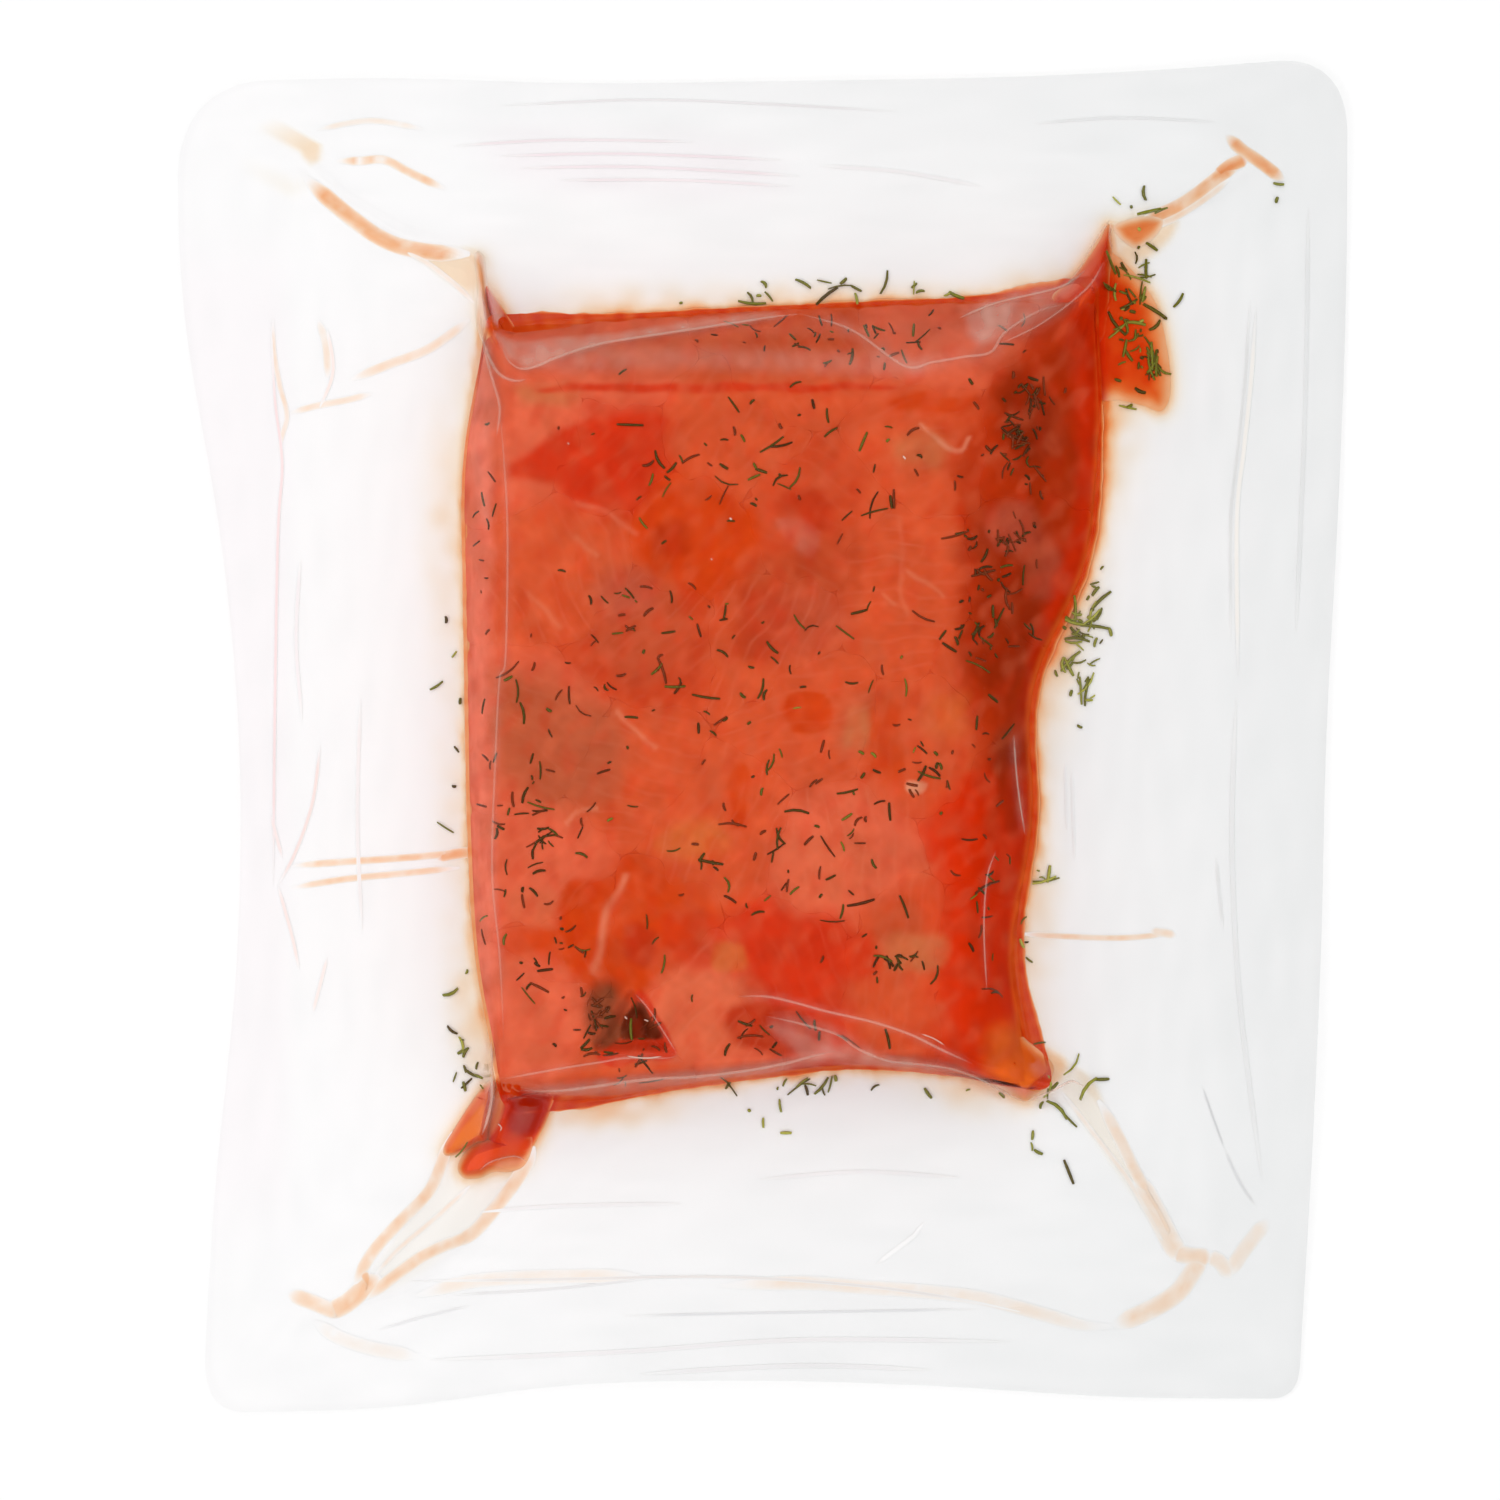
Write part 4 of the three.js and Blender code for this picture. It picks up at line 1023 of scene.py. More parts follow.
TONES = [  # tone, strength, softness and corners of the patches on the fish
    (SMOKE, 1.0, 6, [(-43.5, 9.1), (-33.5, 8.2), (-22.7, 1.6), (-25.2, -10.9), (-36.8, -11.8),
        (-43.8, -4.2)]),
    (DIM, 0.75, 6, [(-4.3, 24.9), (6.5, 31.6), (18.2, 33.2), (19.8, 24.9), (6.5, 14.9), (-2.7, 11.6)]),
    (DIM, 0.25, 5, [(-20.2, 53.2), (-0.2, 54.4), (14.8, 52.4), (9.8, 46.6), (-10.2, 47.4)]),
    (SMOKE, 0.6, 4, [(12.8, 4.9), (19.8, 5.8), (20.8, -2.2), (13.5, -2.9)]),
    (DIM, 0.6, 4, [(19, -27.6), (25.7, -27.6), (25.2, -34.2), (18.5, -34.2)]),
    (SMOKE, 0.5, 6, [(-26.8, 29.1), (-16.8, 25.8), (-11.8, 15.8), (-20.2, 9.1), (-28.5, 15.8)]),
    (SMOKE, 0.4, 6, [(-33.5, 65.8), (-10.2, 67.4), (16.5, 66.6), (14.8, 59.1), (-20.2, 58.2)]),
    # paler pink flesh along the steep left side: partly the flesh's tone, partly painted sheen
    (BLUSH_AND_SHEEN, 0.75, 3, [(-49.8, 62.4), (-45.8, 64.1), (-44.5, 39.1), (-44.8, -4.2), (-43.5, -44.2),
        (-47.2, -50.9), (-48.8, -10.9), (-50.2, 29.1)]),
    (PINK, 0.7, 3, [(-41.6, 54.9), (-33.0, 54.9), (-28.1, 52.4), (-33.0, 49.6), (-38.8, 46.4),
        (-41.6, 41.8)]),
    (RED, 0.95, 2.2, [(-41.1, 42.4), (-38.5, 46.7), (-31.1, 50.3), (-27.6, 52.4), (-20.9, 51.9),
        (-15.1, 51.6), (-21.7, 44.6), (-25.2, 41.1), (-30.1, 39.1), (-33.5, 41.1)]),
    (OLIVE, 0.6, 2.5, [(-39.8, 57.5), (-31.1, 57.2), (-30.6, 54.6), (-36.3, 54.2), (-39.8, 55.2)]),
    (ORANGE, 0.95, 3, [(-19.7, 36.0), (-11.7, 37.7), (-1.3, 37.3), (-1.8, 26.2), (-10.0, 25.3),
        (-18.3, 27.0), (-20.7, 31.9)]),
    (BROWN, 0.9, 3, [(-17.4, 34.4), (-12.0, 34.4), (-12.9, 30.3), (-17.4, 29.9)]),
    (LILAC, 0.7, 4, [(-27.6, 24.5), (-23.2, 27.0), (-17.6, 25.3), (-18.3, 20.1), (-24.8, 19.4)]),
    (MAROON, 0.8, 3, [(3.1, 38.5), (7.4, 40.6), (11.6, 37.7), (11.0, 33.5), (5.6, 32.7)]),
    (RED, 0.85, 1.0, [(-31.4, 57.6), (16.2, 57.8), (16.2, 56.5), (-31.4, 56.3)]),
    (ORANGE, 0.9, 1.6, [(21.7, 55.4), (35.1, 55.4), (33.3, 52.9), (22.5, 53.3)]),
    (OLIVE, 0.6, 4, [(21.7, 48.3), (27.7, 49.5), (30.8, 45.9), (29.4, 42.4), (22.8, 43.4)]),
    (BROWN, 0.85, 9, [(31.8, 48.8), (46, 56), (49.1, 43.4), (54.0, 28.6), (47.4, 15.5), (45.0, -15.7),
        (39.2, -17.4), (35.1, 2.3), (31.7, 22.1)]),
    (DEEP, 0.95, 3, [(50, 68), (57, 72), (59, 60), (55, 30), (47, 14), (44, -14), (42, -46), (38, -20),
        (42, 0), (46, 20), (52, 36), (52, 56)]),
    (DUSK, 0.6, 5, [(39.7, 57.4), (44.2, 59.2), (48.4, 55.7), (47.4, 46.7), (40.9, 45.9)]),
    (DUSK, 0.45, 6, [(34.6, 31.9), (40.9, 36.8), (45.0, 31.9), (44.2, 15.5), (39.2, 7.3), (34.6, 10.6)]),
    (LILAC, 0.7, 3, [(37.6, 36.8), (43.3, 38.1), (46.0, 34.4), (44.2, 30.6), (38.4, 31.1)]),
    (LILAC, 0.6, 3, [(44.2, 31.1), (48.3, 32.4), (49.2, 27.0), (47.4, 22.7), (44.2, 24.5)]),
    (CORAL, 0.9, 3, [(18.2, 41.9), (30.8, 41.9), (31.8, 22.1), (30.8, 6.0), (19.5, 7.3), (17.1, 23.7)]),
    (ORANGE, 0.9, 1, [(4.6, 6.6), (10.8, 6.6), (11.1, 0.9), (4.7, 0.5)]),
    (ORANGE, 0.8, 1, [(-5.0, -5.9), (-2.3, -5.9), (-2.7, -14.6), (-4.6, -14.6)]),
    (ORANGE, 0.7, 2, [(17.5, 4.5), (22.5, 4.5), (22.8, -7.3), (18.2, -6.7)]),
    (YELLOW, 0.5, 4, [(28.4, 6.3), (33.8, 5.6), (32.7, -0.1), (27.7, 0.7)]),
    (OLIVE, 0.6, 2, [(14.4, 4.0), (17.5, 3.7), (17.2, -1.9), (14.3, -1.6)]),
    (CREAM, 0.9, 0.8, [(24.3, -7.3), (27.1, -8.0), (26.4, -9.8), (24.1, -9.2)]),
    (DEEP, 0.8, 2, [(33.8, -6.4), (38.2, -6.4), (37.9, -12.8), (33.8, -12.8)]),
    (DEEP, 0.9, 2, [(31.5, -12.8), (36.8, -12.8), (38.6, -30), (39.6, -48.8), (32.7, -42.8)]),
    (DUSK, 0.5, 3, [(39.2, 0.9), (43.7, -1.8), (42.5, -16.4), (38.6, -10.8)]),
    (YELLOW, 0.7, 3, [(-16.9, -17.0), (-11.7, -14.1), (-6.1, -15.4), (-6.4, -19.0), (-11.7, -20.3),
        (-16.6, -19.0)]),
    (ORANGE, 0.9, 1.6, [(-33.0, -26.4), (-28.9, -23.9), (-25.8, -25.6), (-26.8, -38.7), (-31.1, -39.7),
        (-33.0, -33.8)]),
    (ORANGE, 0.95, 1.6, [(-25.2, -27.2), (-21.5, -19.8), (-17.8, -22.3), (-18.3, -41.2), (-24.5, -42.0),
        (-26.0, -35.4)]),
    (PALE, 0.7, 2, [(-40.8, -26.1), (-35.5, -25.7), (-33.5, -28.0), (-34.7, -31.7), (-40.3, -30.8)]),
    (PINK, 0.8, 3, [(-42.6, -37.9), (-33.0, -37.1), (-29.8, -43.6), (-30.4, -49.7), (-41.2, -50.2)]),
    (RED, 0.5, 3, [(-16.0, -29.8), (-6.1, -30.5), (-6.8, -37.1), (-15.3, -37.9)]),
    (YELLOW, 0.7, 1.4, [(-7.9, -34.8), (-2.5, -35.1), (-3.1, -38.9), (-7.4, -38.4)]),
    (RED, 0.8, 3, [(-0.7, -32.1), (9.7, -31.3), (18.5, -33.0), (17.9, -40.4), (6.4, -41.0),
        (-0.2, -39.0)]),
    (OLIVE, 0.6, 2.5, [(21.2, -33.5), (30.2, -33.0), (29.9, -37.9), (22.0, -38.4)]),
    (PALE, 0.7, 4, [(-17.8, -40.4), (-10.0, -38.9), (-2.5, -41.2), (-3.5, -51.9), (-11.7, -53.2),
        (-17.4, -48.6)]),
    (PALE, 0.5, 5, [(3.1, -17.4), (16.2, -14.9), (19.5, -22.3), (14.6, -27.2), (4.7, -28.0)]),
    (LILAC, 0.4, 5, [(-0.2, 22.1), (11.3, 23.7), (14.6, 15.5), (6.4, 12.2), (0.6, 13.8)]),
    (TEAL, 0.8, 3.0, [(-28.6, -43), (-25.5, -40.5), (-22.5, -43), (-22.5, -50), (-26, -52),
        (-28.6, -49)]),
    (RED, 0.95, 0.7, [(-20.2, -41.8), (-17.7, -44.8), (-14.8, -49.9), (-13.8, -52.6), (-20.2, -54.2),
        (-26.2, -53.6), (-25.8, -52.2), (-23.2, -49.6), (-21.8, -45.9)]),
    # darkest in the air pit: partly dark juice, partly painted shade of the hollow
    (PIT, 0.92, 0.6, [(-20.5, -43.6), (-23.5, -49.8), (-20.2, -50.2), (-16.2, -49.9), (-17.8, -47.2)]),
    (MAROON, 0.5, 4, [(-3.5, 23.1), (4, 22.4), (4.8, 14.1), (-2.7, 13.2)]),
    (MAROON, 0.9, 2, [(-22.2, -31.2), (-17.5, -31.9), (-17.8, -37.2), (-21.8, -36.9)]),
    (DUSK, 0.35, 5, [(39.8, 55.8), (43.5, 44.1), (43.2, 15.8), (39.8, -4.2), (44.8, -4.2), (46.5, 15.8),
        (46.5, 44.1)]),
    (AMBER, 0.8, 5, [(37.3, -50.1), (41.5, -48.4), (47.3, -52.2), (49.5, -56.2), (44, -60.9),
        (38.2, -58.4)]),
    (MAROON, 0.9, 2, [(-5, -45), (4, -44.5), (11, -50), (4, -53), (-5, -50)]),
]

FAT_LINES = [  # line, half width and strength of the pale lines on the fish
    ([(25.8, 51.6), (28.4, 48.7), (33.0, 46.7), (34.1, 49.5)], 0.45, 0.5),
    ([(-24.0, 4.0), (-19.6, -0.1), (-16.9, -2.7)], 0.5, 0.3),
    ([(-22.2, -22.6), (-24.0, -27.1), (-25.8, -30.7), (-26.3, -34.3), (-27.3, -40.2)], 0.7, 0.45),
    ([(-32.7, -15.4), (-29.4, -12.7), (-26.8, -12.2)], 0.4, 0.35),
    ([(23.3, 27.4), (30.1, 22.4)], 0.35, 0.25),
    ([(19.5, 23.6), (22.0, 21.5)], 0.35, 0.25),
    ([(22.8, 36.5), (23.3, 19.0)], 0.4, 0.15),
    ([(-31.0, 38.7), (-25.1, 36.2), (-20.0, 32.4)], 0.5, 0.2),
    ([(-31.0, 32.4), (-25.9, 29.0)], 0.5, 0.2),
    ([(-38.6, 24.1), (-32.7, 17.3)], 0.5, 0.2),
]


TONE_BLEND, OWN_TONE, FLESH_LEVEL = 1.8, 0.12, 1.02
NOISE_TINTS, NOISE_LEVEL = [(SMOKE, 13.0, 15), (PALE, 9.0, 16), (RED, 7.0, 17)], 0.25
PIECE_DIRECTIONS, PIECE_GAP, PIECE_RIM_ROUND = 176, 0.03, 0.04
PIECE_REACH, PIECE_REACH_STEP = 34.0, 0.2
PIECE_UNDERSIDE, PIECE_LOWEST_TOP = 0.6, 0.9
MARGIN_TO_FOOT = (0.8, 0.9, 0.8, 0.7)
FAT_LEVEL = 0.17


def paint_flesh(x, y, own):
    """Tones of the fish. The ground is a blend of the pieces' tones that leans to the nearest
    middle, with a share of the piece's own tone; each patch is laid over it by its soft mask. The
    places are shifted a little by noise, so that no border runs straight."""
    px = x + 0.5 * wobble(x, y, 12.0, 11)
    py = y + 0.5 * wobble(x, y, 12.0, 12)
    middles = np.array([middle for middle, _, _ in SALMON_PIECES])
    tones = np.array([shade(*tone) for _, tone, _ in SALMON_PIECES])
    away = np.hypot(px[:, None] - middles[:, 0], py[:, None] - middles[:, 1])
    weight = np.exp(-(away - away.min(axis=1, keepdims=True)) / TONE_BLEND)
    colour = (weight @ tones) / weight.sum(axis=1, keepdims=True)
    colour = lerp(colour, shade(*own), OWN_TONE)
    for tone, strength, soft, corners in TONES:
        mask = strength * blot(px, py, corners, soft)
        colour = lerp(colour, shade(*tone), mask[:, None])
    for line, half, strength in FAT_LINES:
        mask = strength * stroke(px, py, line, half, 0.1)
        colour = lerp(colour, shade(*CREAM), mask[:, None])
    for tone, size, seed in NOISE_TINTS:
        mask = NOISE_LEVEL * np.clip(wobble(px, py, size, seed), 0.0, 1.0)
        colour = lerp(colour, shade(*tone), mask[:, None])
    edge = 0.8 * smoothstep((2.0 - BLOCK_FOOT.inside_by(1, x, y)) / 1.6)
    colour = lerp(colour, shade(*AMBER), edge[:, None])
    cloudy = 1.0 + 0.06 * wobble(x, y, 17.0, 13) + 0.035 * wobble(x, y, 4.0, 14)
    return FLESH_LEVEL * colour * cloudy[:, None]


def border_shift(x, y, seed):
    """Noise that moves the borders between the pieces: long waves and some short ones."""
    return 1.8 * wobble(x, y, 22.0, seed) + 0.5 * wobble(x, y, 6.0, seed + 2)


def salmon_piece(index):
    """One pressed piece: a closed body on a polar grid. In each direction it reaches to the first
    place that is nearer to another piece's middle or that leaves the block, less half the gap.
    The nearest middle is judged from a place shifted by noise, so the borders wander. Its top
    follows the block, rounded off at the rim."""
    directions, rim_round = PIECE_DIRECTIONS, PIECE_RIM_ROUND
    (cx, cy), tone, fatty = SALMON_PIECES[index]
    middles = np.array([middle for middle, _, _ in SALMON_PIECES])
    angle = -2 * np.pi * np.arange(directions) / directions
    reach = np.arange(0.0, PIECE_REACH, PIECE_REACH_STEP)
    x = cx + np.cos(angle)[:, None] * reach
    y = cy + np.sin(angle)[:, None] * reach
    wx, wy = x + border_shift(x, y, 21), y + border_shift(x, y, 22)
    far = (wx[..., None] - middles[:, 0]) ** 2 + (wy[..., None] - middles[:, 1]) ** 2
    own = far.argmin(axis=-1) == index
    for k, margin in enumerate(MARGIN_TO_FOOT):
        own &= BLOCK_FOOT.inside_by(k, x, y) > margin + 0.25 * wobble(x, y, 8.0, 25)
    own[:, 0] = True
    radius = reach[np.argmin(own, axis=1)] - PIECE_GAP
    for _ in range(3):
        radius = (np.roll(radius, 1) + 2 * radius + np.roll(radius, -1)) / 4
    inner = np.linspace(0, 1, 40)[1:]
    share = 1.0 - (1.0 - inner) ** 1.25
    rx = cx + share[:, None] * radius * np.cos(angle)
    ry = cy + share[:, None] * radius * np.sin(angle)
    from_rim = np.clip((1 - share)[:, None] * radius, 0.0, rim_round)
    drop = rim_round - np.sqrt(rim_round ** 2 - (rim_round - from_rim) ** 2)
    top = flesh_height(rx, ry) - drop + 0.04 * wobble(rx, ry, 9.0, 30 + index)
    top = np.maximum(top, PIECE_LOWEST_TOP)
    under = []
    for down in (0.3, 0.6, 1.0):
        under.append(np.stack([rx[-1], ry[-1], lerp(top[-1], PIECE_UNDERSIDE, down)], axis=-1))
    for inward in (0.6, 0.25):
        under.append(np.stack([cx + inward * (rx[-1] - cx), cy + inward * (ry[-1] - cy),
                               np.full(directions, PIECE_UNDERSIDE)], axis=-1))
    rings = np.concatenate([np.stack([rx, ry, top], axis=-1), np.stack(under)])
    points = capped_points((cx, cy, height_at(flesh_height, (cx, cy))), rings,
                           (cx, cy, PIECE_UNDERSIDE))
    faces = capped_faces(len(rings), directions)
    heading = rng.uniform(0, np.pi)
    dx, dy = points[:, 0] - cx, points[:, 1] - cy
    grain = np.stack([dx * np.cos(heading) + dy * np.sin(heading),
                      dy * np.cos(heading) - dx * np.sin(heading)], axis=1) / 4.0
    return new_piece(f"salmon_piece_{index + 1:02d}", points, faces, SALMON,
                     {"fatty": FAT_LEVEL * fatty * smoothstep((36.0 - points[:, 0]) / 8.0)},
                     {"tone": paint_flesh(points[:, 0], points[:, 1], tone)}, grain)


# ------------------------------------------------------------------ marinade

RED_DEEP, RED_DARK, RED_ORANGE = (214, 44, 4), (178, 28, 2), (234, 72, 20)
BRIGHT, GOLD, EAR_PINK, PEACH = (246, 128, 44), (232, 152, 100), (240, 124, 98), (250, 182, 140)

POOLS = [  # depth, width of the shallow rim, highest top, and corners of the marinade in the ears
    (0.75, 0.8, 20, [(-47.7, 80.1), (-46.2, 79.8), (-45.7, 76.6), (-45.3, 72.4), (-44, 68.8),
        (-43, 64.9), (-44.8, 63.8), (-46.5, 65.4), (-47.5, 69.1), (-47.3, 74.1)]),
    (2.6, 0.5, 20, [(-46, 75.1), (-43.7, 72.1), (-41.7, 69.1), (-39.8, 66.4), (-37.8, 64.8),
        (-41, 63.4), (-43.5, 64.8), (-45, 68.1), (-45.8, 71.4)]),
    (3, 1.2, 20, [(58, 85.1), (56.5, 82.4), (54.5, 79.4), (52.5, 76.9), (50.2, 74.8), (48.2, 72.4),
        (49.8, 67.4), (54, 64.9), (57.2, 65.8), (58.2, 70.8), (58.3, 75.8), (58.5, 80.8)]),
    (2.9, 4.2, 1.6, [(56.5, 80.8), (59.2, 79.8), (61.8, 77.4), (64.2, 74.4), (65.8, 71.8), (67, 67.8),
        (67.7, 64.1), (68.2, 60.1), (68, 55.8), (66.5, 53.9), (63.8, 54.8), (59.5, 55.8), (56.5, 56.1),
        (53.2, 62.4), (53.2, 72.4)]),
    (3.2, 0.9, 20, [(-43.5, -57.6), (-38.5, -58.2), (-33.8, -58.2), (-34.8, -61.9), (-36.3, -65.6),
        (-38.5, -69.2), (-41, -69.6), (-43.5, -69.2), (-45.5, -67.6), (-45.2, -62.6)]),
    (1.9, 1, 20, [(-45.7, -57.9), (-44.2, -58.2), (-44.5, -62.6), (-45.5, -67.6), (-47.2, -68.2),
        (-49.5, -69.6), (-52.5, -70.2), (-52.8, -68.6), (-50.8, -65.2), (-48.5, -61.6)]),
    (2.1, 1.4, 20, [(-48.5, -68.6), (-45.2, -67.2), (-41, -66.9), (-38, -66.9), (-38.3, -69.6),
        (-39.5, -71.9), (-41.8, -72.9), (-44.5, -72.9), (-46.8, -73.9), (-49.5, -73.9), (-50.5, -71.9)]),
    (2.6, 2.2, 20, [(35.7, -56.8), (37.3, -50.9), (41.5, -46.8), (43.3, -49.2), (44.8, -51.2),
        (47.2, -53.2), (48.8, -55.6), (47.8, -58.2), (45.5, -60.2), (43.8, -61.1), (40.8, -59.6),
        (38.2, -58.1)]),
    (1.3, 1.6, 3, [(58.7, 84.6), (61.5, 85.9), (64.8, 86.4), (67, 85.6), (65.8, 83.1), (62.8, 81.1),
        (60.5, 82.1)]),
]

EAR_TONES = [  # tone, strength, softness and corners of the patches on the marinade in the ears
    (RED_DEEP, 0.9, 2, [(56.2, 78.8), (57.5, 78.8), (57.8, 67.4), (57.5, 55.8), (54.2, 55.8),
        (52.8, 65.8), (54.2, 72.4)]),
    (EAR_PINK, 0.6, 1.2, [(57.5, 84.4), (53.2, 77.4), (49.8, 74.1), (50.8, 72.4), (54.5, 76.4),
        (56.5, 79.8)]),
    (RED_DARK, 0.9, 1.6, [(-41.5, -59.6), (-35.5, -60.2), (-36.8, -65.6), (-39.8, -66.6),
        (-42.2, -64.9)]),
    (GOLD, 0.8, 1, [(-44.5, -59.9), (-42.5, -59.9), (-43.5, -64.2), (-45.2, -66.9), (-45.8, -65.9)]),
    (BRIGHT, 0.8, 1.2, [(-47.5, -62.9), (-46.2, -61.6), (-45.8, -64.2), (-47.2, -66.6), (-49.8, -68.2),
        (-51.5, -69.2), (-51.8, -68.2)]),
    (EAR_PINK, 0.5, 1, [(-45.5, -58.6), (-48.5, -61.2), (-50.8, -64.6), (-52.8, -68.6), (-51.8, -68.9),
        (-49.2, -64.6), (-46.2, -60.9)]),
    (RED_ORANGE, 0.9, 1.4, [(-47.8, -69.2), (-44.2, -67.6), (-39.2, -67.6), (-39.2, -69.6),
        (-43.2, -70.2), (-45.8, -71.9), (-48.5, -72.6), (-49.5, -71.6)]),
    (PEACH, 0.6, 1.6, [(-43.5, -71.2), (-39.2, -70.6), (-39.8, -72.2), (-42.2, -73.2), (-44.5, -73.2)]),
    (RED_DEEP, 0.9, 3, [(35.8, -55.9), (37.3, -50.2), (41.8, -46.2), (42.5, -50.9), (41.2, -55.6),
        (39.8, -57.6)]),
    (BRIGHT, 0.5, 4, [(41.8, -51.9), (43.8, -51.9), (46.5, -54.6), (45.8, -58.2), (43.5, -60.2),
        (41.2, -58.9), (40.8, -55.2)]),
]

THIN_AREAS = [  # depth, softness and corners of the thin marinade on the base film
    (0.05, 2, [(-38.5, -69.2), (-43, -76.9), (-53, -86.9), (-61.8, -92.6), (-66, -92.6), (-59.8, -81.9),
        (-55.2, -74.2), (-52.8, -70.6)]),
    (0.5, 2, [(43.5, -50.2), (48.2, -52.6), (50.8, -54.6), (50.2, -57.2), (47.5, -59.2), (44.8, -60.6),
        (44.8, -54.2)]),
    (0.1, 1.5, [(48.2, -52.9), (52.2, -55.2), (55.2, -58.6), (56.5, -61.2), (59.8, -67.6),
        (64.8, -76.9), (69.2, -85.9), (66.5, -83.6), (61.5, -75.9), (55.7, -67.6), (50.2, -59.6)]),
    (0.22, 1.5, [(53.2, -55.9), (55.8, -58.6), (56.8, -61.6), (55.2, -60.6), (53.2, -58.2)]),
    (0.55, 1.2, [(-47.5, 79.8), (-46.2, 79.4), (-45.8, 74.1), (-45.2, 69.1), (-44, 66.1), (-45.8, 64.9),
        (-47.3, 67.4), (-47.3, 74.1)]),
    (0.3, 1.6, [(-60.2, 81.4), (-51.5, 80.9), (-46.8, 80.4), (-47.5, 73.8), (-52.2, 75.8), (-56, 78.8)]),
    (0.35, 2.2, [(59.8, 81.4), (64.8, 82.8), (67.5, 84.8), (69.2, 85.4), (67.8, 82.4), (63.2, 78.8),
        (59.8, 78.8)]),
    (0.1, 3, [(51.5, 77.8), (44.8, 74.9), (36.5, 72.4), (23.2, 71.1), (23.2, 72.8), (36.5, 74.8),
        (48.2, 78.1)]),
    (0.3, 1.6, [(-77.2, 99.1), (-73.8, 99.1), (-73.8, 95.8), (-75.8, 95.8)]),
    (0.06, 2, [(-81.5, 92.1), (-76.8, 93.8), (-75.8, 91.4), (-79.5, 89.8)]),
]

